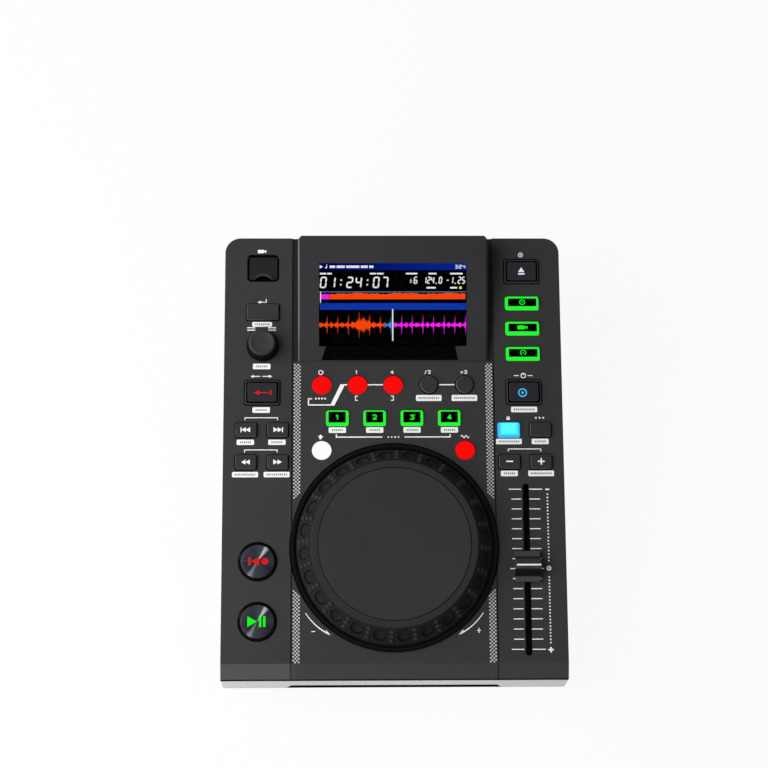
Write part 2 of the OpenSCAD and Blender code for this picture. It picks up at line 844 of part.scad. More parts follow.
// Rotary encoder under the browse knob, with a bush through the panel
module browse_encoder() {
    difference() {
        union() {
            translate([-encoder_w / 2, -encoder_w / 2, -board_top])
                cube([encoder_w, encoder_w, board_top - wall - 0.4]);
            translate([0, 0, -wall - 1]) cylinder(r = knob_shaft_r + 1.1, h = wall + 1);
        }
        translate([0, 0, -board_top + 1]) cylinder(r = knob_shaft_r + run_fit, h = board_top + cut);
    }
}

module jog_bezel() {
    color("#0c0c0c") on_panel(0, jog_mid) rotate_extrude($fn = 128) polygon([
        [ring_r + 0.7, 0], [bezel_r, 0], [bezel_r, jog_bezel_h - 0.6],
        [bezel_r - 0.6, jog_bezel_h], [ring_r + 1.1, jog_bezel_h],
        [ring_r + 0.7, jog_bezel_h - 0.4]
    ]);
}

module jog_bearing() {
    color("#a0a4a8") on_panel(0, jog_mid) rotate_extrude() polygon([
        [jog_bore_r, -bearing_h], [bearing_r, -bearing_h], [bearing_r, -wall - bearing_rim_t],
        [bearing_rim_r, -wall - bearing_rim_t], [bearing_rim_r, -wall],
        [boss_ring_r, -wall], [boss_ring_r, bearing_top], [jog_bore_r, bearing_top]
    ]);
}

module jog_shaft() {
    color("#c8ccd0") on_panel(0, jog_mid) rotate_extrude() polygon([
        [0, -bearing_h - shaft_tail], [jog_shaft_r, -bearing_h - shaft_tail],
        [jog_shaft_r, bearing_top + free_fit], [shaft_flange_r, bearing_top + free_fit],
        [shaft_flange_r, flange_top], [jog_shaft_r, flange_top],
        [jog_shaft_r, flange_top + web_t + 2], [0, flange_top + web_t + 2]
    ]);
}

module jog_encoder_disc() {
    color("#303436") on_panel(0, jog_mid) translate([0, 0, -bearing_h - 2.4]) difference() {
        cylinder(r = encoder_r, h = encoder_t);
        translate([0, 0, -cut]) cylinder(r = jog_bore_r, h = encoder_t + 2 * cut);
        for (a = [0:15:345]) rotate(a) translate([encoder_slot_r, 0, 0])
            cube([4, encoder_t, 4 * encoder_t], center = true);
    }
}

module jog_ring() {
    ledge_n = jog_h - plate_set - jog_plate_t;
    land_in = plate_r + 0.35;
    shift_r = ring_t / sin(ring_a);
    // Inner face of the slope at a given height
    function inner_r(n) = ring_r - shift_r - (n - jog_foot_n) / tan(ring_a);
    color("#2a2a2a") on_panel(0, jog_mid) difference() {
        rotate_extrude($fn = 128) polygon([
            [jog_bore_r, flange_top], [ring_r - 3, flange_top], [ring_r - 3, jog_gap],
            [ring_r, jog_gap], [ring_r, jog_foot_n], [land_r + land_edge, jog_edge_n],
            [land_r, jog_h], [land_in, jog_h], [land_in, ledge_n],
            [land_in - ledge_w, ledge_n], [land_in - ledge_w, ledge_n - 2],
            [inner_r(ledge_n - 2), ledge_n - 2], [inner_r(flange_top + web_t), flange_top + web_t],
            [jog_bore_r, flange_top + web_t]
        ]);
        finger_dimples();
    }
}

// Shallow long hollows, spaced evenly round the slope of the ring
module finger_dimples() {
    // Radius of an arc of a given span that is as deep as a dimple
    function arc_r(span) = (span * span / 4 + dimple_deep * dimple_deep) / (2 * dimple_deep);
    tube_r = arc_r(dimple_wide);
    bend_r = max(arc_r(dimple_long) - tube_r, tube_r + 0.2);
    mid_r = (ring_r + land_r + land_edge) / 2;
    mid_n = (jog_foot_n + jog_edge_n) / 2;
    out = bend_r + tube_r - dimple_deep;
    for (i = [0:dimple_count - 1]) rotate(i * 360 / dimple_count - 90 + dimple_turn)
        translate([mid_r + out * sin(ring_a), 0, mid_n + out * cos(ring_a)])
            rotate([90, 0, 0]) rotate_extrude($fn = 48) translate([bend_r, 0]) circle(tube_r, $fn = 48);
}

module jog_top_plate() {
    color("#363636") on_panel(0, jog_mid)
        translate([0, 0, jog_h - plate_set - jog_plate_t]) chamfered_disc(plate_r, 0, jog_plate_t, 0.3);
}

module browse_shaft() {
    color("#b8bcc0") on_panel(-column_x, knob_v) translate([0, 0, -board_top + 1.4])
        cylinder(r = knob_shaft_r, h = board_top - 1.4 + knob_h - 3);
}

module browse_knob() {
    bore_top = knob_h - 3 + key_travel;
    color("#303030") on_panel(-column_x, knob_v) rotate_extrude() polygon([
        [knob_shaft_r + run_fit, knob_gap], [knob_base_r, knob_gap], [knob_base_r, knob_gap + 1.6],
        [knob_top_r + 0.5, knob_gap + 2.6], [knob_top_r, knob_h - 0.7], [knob_top_r - 0.7, knob_h],
        [0, knob_h], [0, bore_top], [knob_shaft_r + run_fit, bore_top]
    ]);
}

module fader_body() {
    middle_n = -wall - fader_body_h / 2;
    color("#70757a") on_panel(column_x, fader_mid) translate([0, 0, middle_n]) difference() {
        cube([fader_body_w, track_d + 4, fader_body_h], center = true);
        cube([track_w, track_d, fader_body_h - 2 * fader_skin], center = true);
        translate([0, 0, fader_body_h / 2]) cube([fader_slot_w, fader_slot - 1, 8], center = true);
    }
}

module fader_carriage() {
    track_top = -wall - fader_skin;
    track_low = -wall - fader_body_h + fader_skin;
    color("#d0d4d8") on_panel(column_x, fader_mid) {
        translate([0, 0, (track_top + track_low) / 2])
            cube([track_w - 2 * free_fit, carriage_d, track_top - track_low - 2 * free_fit], center = true);
        translate([0, 0, track_low + 2]) linear_extrude(cap_h - lever_cover - track_low - 2)
            square([fader_slot_w - 2 * free_fit, lever_d], center = true);
    }
}

module fader_cap() {
    low = 0.8;
    half = cap_d / 2;
    lip = 4.2;
    ridge = 1.2;
    color("#2c2c2c") on_panel(column_x, fader_mid) difference() {
        translate([0, cap_off, 0]) across(cap_w) polygon([
            [-half, low], [half, low], [half, 3], [half - lip, 4.4], [ridge + 0.6, cap_h - 0.6],
            [ridge, cap_h], [-ridge, cap_h], [-ridge - 0.6, cap_h - 0.6], [lip - half, 4.4], [-half, 3]
        ]);
        translate([0, 0, low - cut]) linear_extrude(cap_h - lever_cover + 0.1 - low + cut)
            square([fader_slot_w - 2 * free_fit + 0.1, lever_d + 0.1], center = true);
    }
}

module stick_socket() {
    color("#b0b4b8") on_panel(-column_x, well_v) translate([0, 0, -well_h - well_wall - shell_h / 2])
        difference() {
            cube([stick_w + 2 * shell_t, stick_d + 2 * shell_t, shell_h], center = true);
            translate([0, 0, 2]) cube([stick_w, stick_d, shell_h], center = true);
        }
}

module stick_flap() {
    reach = hinge_v - well_v + well_d / 2 - flap_gap;
    w = well_w - 2 * flap_gap;
    color("#242424") on_panel(-column_x, hinge_v) translate([0, 0, hinge_n]) {
        difference() {
            union() {
                translate([0, -reach / 2, -flap_t / 2])
                    linear_extrude(flap_t) rounded(w, reach, flap_corner_r);
                rotate([0, 90, 0]) cylinder(r = flap_t / 2, h = w, center = true);
                linear_extrude(flap_t / 2 + grip_h) intersection() {
                    translate([0, -reach / 2]) rounded(w, reach, flap_corner_r);
                    translate([0, -reach - notch_out]) circle(notch_r + grip_w);
                }
            }
            translate([0, -reach - notch_out, -flap_t]) cylinder(r = notch_r, h = 2 * flap_t);
        }
        rotate([0, 90, 0]) cylinder(r = pin_r, h = well_w + 2 * well_wall - 1.6, center = true);
    }
}

module output_sockets() {
    color("#c0c0b8") for (x = SOCKETS) translate([x, panel_out, rear_z]) rotate([-90, 0, 0]) {
        difference() {
            union() {
                cylinder(r = socket_flange_r, h = socket_flange_t);
                cylinder(r = socket_r, h = socket_len);
            }
            translate([0, 0, socket_flange_t]) cylinder(r = socket_r - 0.8, h = socket_len);
        }
        difference() {
            translate([0, 0, 0.6]) cylinder(r = 2.4, h = socket_len - 2.6);
            translate([0, 0, 1.8]) cylinder(r = 1.6, h = socket_len);
        }
        translate([0, 0, -rear_t - socket_tail]) cylinder(r = socket_r, h = rear_t + socket_tail + 0.5);
        translate([0, 0, -rear_t - socket_block_d / 2])
            cube([socket_block_w, socket_block_w, socket_block_d], center = true);
    }
}

module power_entry() {
    color("#181818") difference() {
        union() {
            translate([entry_x, panel_out + entry_t / 2, rear_z])
                cube([entry_w, entry_t, entry_h], center = true);
            translate([entry_x, panel_out + entry_t / 2 - entry_deep / 2, rear_z])
                cube([entry_w - 4 - 2 * free_fit, entry_deep, entry_h - 3 - 2 * free_fit], center = true);
        }
        translate([rocker_x, rocker_y + 2, rear_z])
            cube([rocker_w + 2 * free_fit, rocker_well, 2 * rocker_r + 2 * free_fit], center = true);
        translate([rocker_x, rocker_y, rear_z]) rotate([0, 90, 0])
            cylinder(r = rocker_pin_r + run_fit, h = rocker_w + 3, center = true);
        translate([jack_x, panel_out + entry_t + cut, rear_z]) rotate([90, 0, 0]) difference() {
            cylinder(r = jack_r, h = jack_deep + cut);
            translate([0, 0, cut + 1.5]) cylinder(r = jack_pin_r, h = jack_deep + 2 * cut);
        }
    }
}

module power_rocker() {
    color("#0e0e0e") translate([rocker_x, rocker_y, rear_z]) rotate([rocker_tilt, 0, 0]) {
        across(rocker_w) intersection() {
            circle(rocker_r);
            polygon([[-3.4, -rocker_r], [5, -rocker_r], [3.8, 0], [5, rocker_r], [-3.4, rocker_r]]);
        }
        rotate([0, 90, 0]) cylinder(r = rocker_pin_r, h = rocker_w + 2.4, center = true);
    }
}

module rubber_feet() {
    color("#202020") for (f = FEET) translate([f[0], f[1], 0])
        rotate_extrude() polygon([
            [0, 0], [foot_dia / 2 - 1, 0], [foot_dia / 2, 1], [foot_dia / 2, foot_h], [0, foot_h]
        ]);
}

module case_screws() {
    color("#505050") for (p = POSTS) translate([p[0], p[1], foot_h]) {
        cylinder(r = screw_r, h = screw_len);
        difference() {
            translate([0, 0, -screw_head_h]) cylinder(r = screw_head_r, h = screw_head_h);
            for (a = [0, 90]) rotate(a) translate([0, 0, -screw_head_h])
                cube([screw_cross, screw_cross_w, screw_head_h], center = true);
        }
    }
}

// One key: a cap through the panel, a flange that keeps it in and a stem into its switch
module key(k) {
    s = style(k);
    low = -wall - flange_gap - flange_t;
    color(s[3]) on_panel(k[2], k[3]) {
        key_cap(k, low + flange_t / 2);
        translate([0, 0, low]) linear_extrude(flange_t) key_outline(k, flange_rim);
        translate([0, 0, -stem_end]) cylinder(r = stem_r, h = stem_end + low + 0.5);
    }
}

// A key's body with rounded corners and chamfered top edges
module key_block(w, d, z0, z1, c) {
    intersection() {
        chamfered(w, d, z0, z1, c);
        translate([0, 0, z0]) linear_extrude(z1 - z0) rounded(w, d, key_corner_r);
    }
}

module key_cap(k, low) {
    s = style(k);
    if (k[1] == "framed") {
        key_block(s[1], s[2], low, key_rise - 0.9, 0.3);
        key_block(s[1] - 2 * frame_w, s[2] - 2 * frame_w, 0, key_rise + 0.4, 0.5);
    } else if (k[1] == "transport") {
        chamfered_disc(s[1] / 2, low, key_rise - 0.4, 0.5);
        chamfered_disc(s[1] / 2 - 1.2, 0, key_rise + 0.2, 0.4);
    } else if (s[2] == 0) {
        chamfered_disc(s[1] / 2, low, key_rise, 0.5);
    } else {
        key_block(s[1], s[2], low, key_rise, 0.4);
    }
}

top_cover();
lower_case();
front_fascia();
rear_panel();
screen_hood();
screen_window();
display_panel();
disc_drive_base();
disc_drive_lid();
slot_felt();
main_board();
control_board();
key_switches();
jog_bezel();
jog_bearing();
jog_shaft();
jog_encoder_disc();
jog_ring();
jog_top_plate();
browse_shaft();
browse_knob();
fader_body();
fader_carriage();
fader_cap();
stick_socket();
stick_flap();
output_sockets();
power_entry();
power_rocker();
rubber_feet();
case_screws();
for (k = KEYS) key(k);
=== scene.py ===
# %% [markdown]
# # Dressing a table-top media player
# The CAD model is already packed: every case part, key, knob and wheel has its shape, its size and
# its joint. This lesson gives those parts real surfaces, and adds what is printed, lit or too fine
# for CAD. Everything is in metres in the CAD frame, so the first step is to load that frame.

# %% Load the frame
import math

import bpy
import numpy as np
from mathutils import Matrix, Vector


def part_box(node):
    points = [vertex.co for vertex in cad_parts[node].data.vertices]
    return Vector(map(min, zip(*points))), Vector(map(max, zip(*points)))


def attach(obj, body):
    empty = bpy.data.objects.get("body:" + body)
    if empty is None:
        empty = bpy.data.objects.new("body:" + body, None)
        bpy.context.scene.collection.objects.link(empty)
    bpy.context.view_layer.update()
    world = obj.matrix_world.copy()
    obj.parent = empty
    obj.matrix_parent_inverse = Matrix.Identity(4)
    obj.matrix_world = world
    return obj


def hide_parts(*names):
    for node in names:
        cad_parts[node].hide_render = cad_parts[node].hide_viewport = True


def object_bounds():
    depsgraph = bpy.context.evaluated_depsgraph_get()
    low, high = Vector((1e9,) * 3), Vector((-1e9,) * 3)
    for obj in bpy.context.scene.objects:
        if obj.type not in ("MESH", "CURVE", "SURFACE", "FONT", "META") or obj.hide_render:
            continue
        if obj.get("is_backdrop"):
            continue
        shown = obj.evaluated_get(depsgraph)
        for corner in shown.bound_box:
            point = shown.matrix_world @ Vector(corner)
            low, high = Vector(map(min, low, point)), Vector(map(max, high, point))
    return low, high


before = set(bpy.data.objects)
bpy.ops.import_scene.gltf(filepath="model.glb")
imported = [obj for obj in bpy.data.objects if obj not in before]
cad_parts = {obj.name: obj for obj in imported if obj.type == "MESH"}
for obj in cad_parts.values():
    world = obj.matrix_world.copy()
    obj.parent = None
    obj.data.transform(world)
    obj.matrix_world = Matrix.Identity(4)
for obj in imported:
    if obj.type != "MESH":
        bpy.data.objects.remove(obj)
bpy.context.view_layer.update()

# %% [markdown]
# ## Camera
# The photograph looks down on the sloped panel from the front, with a long lens. Its place and
# turn were found from the corners of the case and the middles of the keys, on a square image.

# %% Camera
MM = 0.001
camera_data = bpy.data.cameras.new("camera")
camera_data.sensor_width = 36.0
camera_data.lens = 86.72
camera = bpy.data.objects.new("camera", camera_data)
camera.location = (-28.78 * MM, -353.16 * MM, 1202.69 * MM)
camera.rotation_euler = [math.radians(turn) for turn in (19.343, -1.001, -0.434)]
bpy.context.scene.collection.objects.link(camera)
bpy.context.scene.camera = camera
bpy.context.scene.view_settings.view_transform = "Standard"
print("camera", round(camera.location.length, 3), "m from the origin")

# %% [markdown]
# ## Colours and nodes
# Colours are written as sRGB hex, as a paint chart gives them, and one function turns them into
# the linear values that Blender works with. One more function adds a shader node: it sets the
# node's own properties, fills its sockets and links those that get another node's output.


# %% Colour and node helpers
def linear(code):
    """Linear RGBA of an sRGB hex colour: each channel undoes the sRGB curve."""
    s = np.array([int(code[i : i + 2], 16) for i in (1, 3, 5)]) / 255
    return (*np.where(s <= 0.04045, s / 12.92, ((s + 0.055) / 1.055) ** 2.4).tolist(), 1.0)


def add(tree, kind, sockets=(), stops=(), **settings):
    """Adds a node. sockets are (input, value or output to link), stops a ramp's (place, colour)."""
    node = tree.nodes.new("ShaderNode" + kind)
    for name, value in settings.items():
        setattr(node, name, value)
    for name, value in sockets:
        if isinstance(value, bpy.types.NodeSocket):
            tree.links.new(value, node.inputs[name])
        else:
            node.inputs[name].default_value = value
    for i, (place, code) in enumerate(stops):
        ramp = node.color_ramp.elements
        stop = ramp[i] if i < len(ramp) else ramp.new(place)
        stop.position, stop.color = place, linear(code)
    return node


def start(name, roughness, sockets=()):
    """A new material: its node tree, its shader with even values set, and Object coordinates."""
    material = bpy.data.materials.new(name)
    material.use_nodes = True
    tree = material.node_tree
    tree.nodes.clear()
    shader = add(tree, "BsdfPrincipled", [("Roughness", roughness), *sockets])
    add(tree, "OutputMaterial", [("Surface", shader.outputs["BSDF"])])
    return material, tree, shader, add(tree, "TexCoord").outputs["Object"]


# %% [markdown]
# ## Stage
# A pale floor and soft lamps. In the photograph the left side is lighter than the right, the keys
# have their dark edge at the right, and left edges shine: so a main lamp stands close at the left,
# a low one behind it lights the edges, and a wide one in front lights the fascia. The floor and the
# sky are white to the camera, to gloss and through glass, and the floor keeps a soft shadow.

# %% Floor, lamps and sky
FLOOR_HALF, FLOOR_Z, FLOOR_GLOW, SKY_LIGHT = 2.5, -0.0002, 0.93, 0.2
LAMPS = [
    ("main_lamp", (-0.7, -0.08, 0.72), 0.9, 9.2),
    ("edge_lamp", (-1.1, 0.4, 0.2), 0.4, 5.0),
    ("front_lamp", (-0.7, -1.0, 0.45), 0.8, 5.4),
]


def white_to_camera(tree):
    """1 for rays from the camera, off gloss or through glass, where the stage shows plain white."""
    path = add(tree, "LightPath").outputs
    seen = path["Is Camera Ray"]
    for more in ("Is Glossy Ray", "Is Transmission Ray"):
        seen = add(tree, "Math", [(0, seen), (1, path[more])], operation="MAXIMUM").outputs[0]
    return seen


floor_mesh = bpy.data.meshes.new("floor")
corners = np.array([(-1, -1), (1, -1), (1, 1), (-1, 1)]) * FLOOR_HALF
floor_mesh.from_pydata([(x, y, FLOOR_Z) for x, y in corners.tolist()], [], [(0, 1, 2, 3)])
floor = bpy.data.objects.new("floor", floor_mesh)
bpy.context.scene.collection.objects.link(floor)
paper, tree, shader, place = start("matt white paper", 0.9, [("Base Color", linear("#f4f4f4"))])
glow = add(tree, "Emission", [("Color", linear("#ffffff")), ("Strength", 1.0)])
share = add(tree, "Math", [(0, white_to_camera(tree)), (1, FLOOR_GLOW)], operation="MULTIPLY")
both = add(tree, "MixShader", [(0, share.outputs[0]), (1, shader.outputs[0]), (2, glow.outputs[0])])
tree.links.new(both.outputs[0], tree.nodes["Material Output"].inputs["Surface"])
floor_mesh.materials.append(paper)
floor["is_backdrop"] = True

for name, spot, size, watts in LAMPS:
    lamp = bpy.data.lights.new(name, "AREA")
    lamp.energy, lamp.size = watts, size
    holder = bpy.data.objects.new(name, lamp)
    holder.location = spot
    holder.rotation_euler = (-holder.location).to_track_quat("-Z", "Y").to_euler()
    bpy.context.scene.collection.objects.link(holder)

world = bpy.data.worlds.new("studio")
bpy.context.scene.world = world
world.use_nodes = True
sky = world.node_tree
sky.nodes.clear()
dim = add(sky, "Background", [("Color", linear("#ffffff")), ("Strength", SKY_LIGHT)])
bright = add(sky, "Background", [("Color", linear("#ffffff")), ("Strength", 1.0)])
both = add(sky, "MixShader", [(0, white_to_camera(sky)), (1, dim.outputs[0]), (2, bright.outputs[0])])
add(sky, "OutputWorld", [("Surface", both.outputs[0])])
print("stage with", len(LAMPS), "lamps")

# %% [markdown]
# ## Moulded plastics
# The case, keys and wheel are injection-moulded ABS. Its mould is spark-eroded, which leaves a
# fine even grain: matt, with a slight change of tone over a hand's width. One function serves
# every moulding, since they differ only in colour, gloss and grain. The grain of about 0.3 mm is
# drawn at 0.6 mm or more, because a finer one would vanish between the pixels.


# %% Moulded plastics
def moulded(name, dark, light, roughness, grain_mm, depth_mm, gloss=0.06):
    """ABS: tone drifts between two colours over 70 mm, and noise of the grain's size makes bump."""
    material, tree, shader, place = start(name, roughness, [("Specular IOR Level", gloss)])
    drift = add(tree, "TexNoise", [("Vector", place), ("Scale", 1 / (70 * MM)), ("Detail", 2.0)])
    tone = add(tree, "ValToRGB", [("Fac", drift.outputs[0])], [(0.3, dark), (0.7, light)])
    grain = add(tree, "TexNoise", [("Vector", place), ("Scale", 1 / (grain_mm * MM)), ("Detail", 3.0)])
    sand = add(tree, "Bump", [("Height", grain.outputs[0]), ("Distance", depth_mm * MM), ("Strength", 0.5)])
    spread = add(
        tree,
        "MapRange",
        [("Value", grain.outputs[0]), ("To Min", roughness - 0.06), ("To Max", roughness + 0.06)],
    )
    tree.links.new(tone.outputs[0], shader.inputs["Base Color"])
    tree.links.new(spread.outputs[0], shader.inputs["Roughness"])
    tree.links.new(sand.outputs[0], shader.inputs["Normal"])
    return material


cover_abs = moulded("ABS, cover, fine grain", "#373737", "#3b3b3b", 0.6, 0.7, 0.05)
case_abs = moulded("ABS, lower case, coarse grain", "#161618", "#1b1b1d", 0.66, 0.9, 0.07, 0.0)
hood_abs = moulded("ABS, screen hood, fine grain", "#2d2d2f", "#323234", 0.5, 0.7, 0.05, 0.1)
key_abs = moulded("ABS, grey keys", "#2e2e2e", "#333333", 0.5, 0.6, 0.03, 0.1)
frame_abs = moulded("ABS, framed keys", "#38383a", "#3d3d3f", 0.5, 0.6, 0.03, 0.1)
face_abs = moulded("ABS, dark key faces", "#242429", "#29292e", 0.42, 0.6, 0.02, 0.1)
ring_abs = moulded("ABS, jog ring", "#191919", "#1e1e1e", 0.75, 0.8, 0.03)
# Painted highlight: the jog bumps are a little lighter than the ring, for their lit tops.
bump_abs = moulded("ABS, jog bumps, rubbed", "#242424", "#292929", 0.5, 0.8, 0.02, 0.1)
plate_abs = moulded("ABS, jog plate, fine grain", "#313131", "#353535", 0.6, 0.6, 0.04)
knob_abs = moulded("ABS, soft-touch knob", "#303030", "#353535", 0.42, 0.6, 0.02, 0.1)
cap_abs = moulded("ABS, fader cap", "#3e3e3e", "#464646", 0.42, 0.6, 0.02, 0.1)
flap_abs = moulded("ABS, stick flap", "#1e1e1e", "#232323", 0.5, 0.6, 0.02)
skirt_abs = moulded("ABS, black knob skirt", "#060606", "#0a0a0a", 0.4, 0.6, 0.02, 0.02)
switch_abs = moulded("ABS, switch bodies", "#3e3e42", "#4a4a4e", 0.5, 0.8, 0.03)
inlet_abs = moulded("ABS, power inlet", "#141414", "#1a1a1a", 0.45, 0.8, 0.03, 0.2)
bezel_abs = moulded("ABS, gloss black ring", "#020202", "#040404", 0.22, 2.5, 0.004, 0.04)
foot_rubber = moulded("rubber, moulded feet", "#181818", "#202020", 0.85, 1.2, 0.1, 0.2)
print(len(bpy.data.materials), "materials so far")

# %% [markdown]
# ## Paint, felt and boards
# The front fascia is light grey satin paint over plastic, with the faint orange peel of sprayed
# paint. The rear panel is powder-coated steel, whose pebbles are coarser. The felt in the disc
# slot is a mat of fibres, and the boards are green solder mask over copper.

# %% Paint, felt and boards
fascia_paint = moulded("satin paint, light grey", "#c6c6c6", "#cecece", 0.38, 1.6, 0.01, 0.2)
powder_coat = moulded("powder coat, black", "#151515", "#1b1b1b", 0.55, 1.1, 0.06)
slot_felt = moulded("felt, black", "#030303", "#060606", 0.95, 0.5, 0.25, 0.0)
solder_mask = moulded("solder mask, green", "#164a2a", "#1f5a34", 0.35, 3.0, 0.01, 0.5)

# %% [markdown]
# ## Metals
# Plated steel, turned steel and black screws share a recipe: a metal's colour is its reflection,
# so the base is the metal's own tint, and fine scratches along one axis spread the highlight. The
# scratches are noise stretched forty times along X.


# %% Metals
def plated(name, code, roughness, scratch_mm=0.4):
    """Metal with noise stretched along X as brushing: it shifts the roughness and adds bump."""
    material, tree, shader, place = start(
        name, roughness, [("Base Color", linear(code)), ("Metallic", 1.0)]
    )
    long = add(tree, "Mapping", [("Vector", place), ("Scale", (0.025, 1.0, 1.0))])
    lines = add(tree, "TexNoise", [("Vector", long.outputs[0]), ("Scale", 1 / (scratch_mm * MM))])
    worn = add(
        tree,
        "MapRange",
        [("Value", lines.outputs[0]), ("To Min", roughness - 0.1), ("To Max", roughness + 0.1)],
    )
    cut = add(tree, "Bump", [("Height", lines.outputs[0]), ("Distance", 0.01 * MM), ("Strength", 0.4)])
    tree.links.new(worn.outputs[0], shader.inputs["Roughness"])
    tree.links.new(cut.outputs[0], shader.inputs["Normal"])
    return material


zinc_sheet = plated("zinc-plated steel sheet", "#a2a6aa", 0.35)
turned_steel = plated("turned steel", "#a8acb0", 0.25)
nickel = plated("nickel plate", "#c4c0b4", 0.18)
black_steel = plated("black-oxide steel", "#161618", 0.5)

# %% [markdown]
# ## Lit plastics
# The lit keys are translucent caps over coloured lamps. What the eye sees is mostly the glow, so
# the colour goes to the emission and the body stays dark. A lamp sits under the middle of a cap,
# so the glow is strongest there: a ramp that falls towards the key's four edges.


# %% Lit plastics
def lit(name, middle, edge, strength=1.0, room=None):
    """Glow that falls off at the edge of a room, a (low, high) box, or stays nearly even without."""
    body = [("Base Color", linear("#080808")), ("Specular IOR Level", 0.0)]
    material, tree, shader, place = start(name, 0.5, [*body, ("Emission Strength", strength)])
    if room is None:
        cloud = add(tree, "TexNoise", [("Vector", place), ("Scale", 1 / (9 * MM))])
        fade = add(tree, "ValToRGB", [("Fac", cloud.outputs[0])], [(0.25, edge), (0.75, middle)])
    else:
        middles, halves = (room[0] + room[1]) / 2, (room[1] - room[0]) / 2
        off = add(tree, "VectorMath", [(0, place), (1, middles)], operation="SUBTRACT")
        part = add(tree, "VectorMath", [(0, off.outputs[0]), (1, halves)], operation="DIVIDE")
        far = add(tree, "VectorMath", [(0, part.outputs[0])], operation="ABSOLUTE")
        split = add(tree, "SeparateXYZ", [("Vector", far.outputs[0])]).outputs
        most = add(tree, "Math", [(0, split["X"]), (1, split["Y"])], operation="MAXIMUM")
        fade = add(tree, "ValToRGB", [("Fac", most.outputs[0])], [(0.55, middle), (0.95, edge)])
    tree.links.new(fade.outputs[0], shader.inputs["Emission Color"])
    return material


lit_green = lit("translucent cap, lit green", "#22fb2c", "#2cee3e")
lit_red = lit("translucent cap, lit red", "#ff0404", "#f80808")
lit_white = lit("translucent cap, lit white", "#ffffff", "#fcfcfc")
sign_red = lit("sign lit red", "#f01418", "#e01018")
sign_green = lit("sign lit green", "#12ff1c", "#10f41a")
sign_cyan = lit("sign lit cyan", "#4cc8ff", "#38b8f4")
sign_white = lit("sign lit white", "#e6f6fc", "#dcf0f8", 0.9)
print(len(bpy.data.materials), "materials so far")

# %% [markdown]
# ## Inks and the picture on the display
# The white marks on the panel are screen-printed ink, dense and matt; the white ink also glows a
# little, a painted brightness in place of light. The display's colours are light, so each is an
# emission. Its title bar runs from navy to blue along X.


# %% Inks and display colours
def ink(name, thin, dense, painted_glow=0.0):
    """Screen ink: its density drifts a little, over the 3 mm that a squeegee leaves uneven."""
    # The ink's glow is painted brightness, not a lamp.
    glow = [("Emission Color", linear("#ffffff")), ("Emission Strength", painted_glow)]
    material, tree, shader, place = start(name, 0.7, [("Specular IOR Level", 0.0), *glow])
    drift = add(tree, "TexNoise", [("Vector", place), ("Scale", 1 / (3 * MM)), ("Detail", 2.0)])
    tone = add(tree, "ValToRGB", [("Fac", drift.outputs[0])], [(0.3, thin), (0.7, dense)])
    tree.links.new(tone.outputs[0], shader.inputs["Base Color"])
    return material


# Painted brightness: the white ink glows a little.
white_ink = ink("screen ink, white", "#f2f2f2", "#fafafa", 0.08)
grey_ink = ink("screen ink, grey", "#8a8a8a", "#969696")
strip_ink = ink("screen ink, strip white", "#cacaca", "#d4d4d4")
black_ink = ink("screen ink, black", "#050506", "#080809")
window_black = ink("black window of a lit key", "#020302", "#040604")
display_black = ink("display, unlit", "#020203", "#040406")
display_white = lit("display, white", "#f4f4f4", "#ececec", 0.95)
display_blue = lit("display, blue", "#0836ac", "#0630a0")
display_sky = lit("display, light blue", "#3a98f0", "#2c8ae4")
display_line = lit("display, line", "#3f7fb8", "#3874ac")
display_orange = lit("display, orange", "#ff4c08", "#f84404")
display_magenta = lit("display, magenta", "#fb24f4", "#f018e8")
display_yellow = lit("display, yellow", "#f0e838", "#e4dc30")
title_blue, tree, shader, place = start("display, title bar", 0.5, [("Emission Strength", 1.0)])
shader.inputs["Specular IOR Level"].default_value = 0.0
shader.inputs["Base Color"].default_value = linear("#000000")
along_x = add(tree, "SeparateXYZ", [("Vector", place)]).outputs["X"]
part = add(tree, "MapRange", [("Value", along_x), ("From Min", -48 * MM), ("From Max", 30 * MM)])
blend = add(tree, "ValToRGB", [("Fac", part.outputs[0])], [(0.0, "#02024e"), (1.0, "#06228a")])
tree.links.new(blend.outputs[0], shader.inputs["Emission Color"])

# %% [markdown]
# ## The window
# A clear acrylic pane lies in the hood over the display. It is real glass to the renderer, and all
# light passes. A coating of low index keeps its reflection down, which is why the display looks
# black where it is dark; so the index given here is the coating's share, not that of acrylic.

# %% Acrylic
acrylic, tree, shader, place = start(
    "acrylic, coated against glare",
    0.02,
    [("Transmission Weight", 1.0), ("IOR", 1.005), ("Specular IOR Level", 0.0)],
)
shader.inputs["Base Color"].default_value = linear("#f4f6f8")
haze = add(tree, "TexNoise", [("Vector", place), ("Scale", 1 / (12 * MM))])
film = add(tree, "MapRange", [("Value", haze.outputs[0]), ("To Min", 0.0), ("To Max", 0.01)])
tree.links.new(film.outputs[0], shader.inputs["Roughness"])

# %% [markdown]
# ## Putting the finishes on the CAD parts
# A CAD part whose shape is right only needs its material.

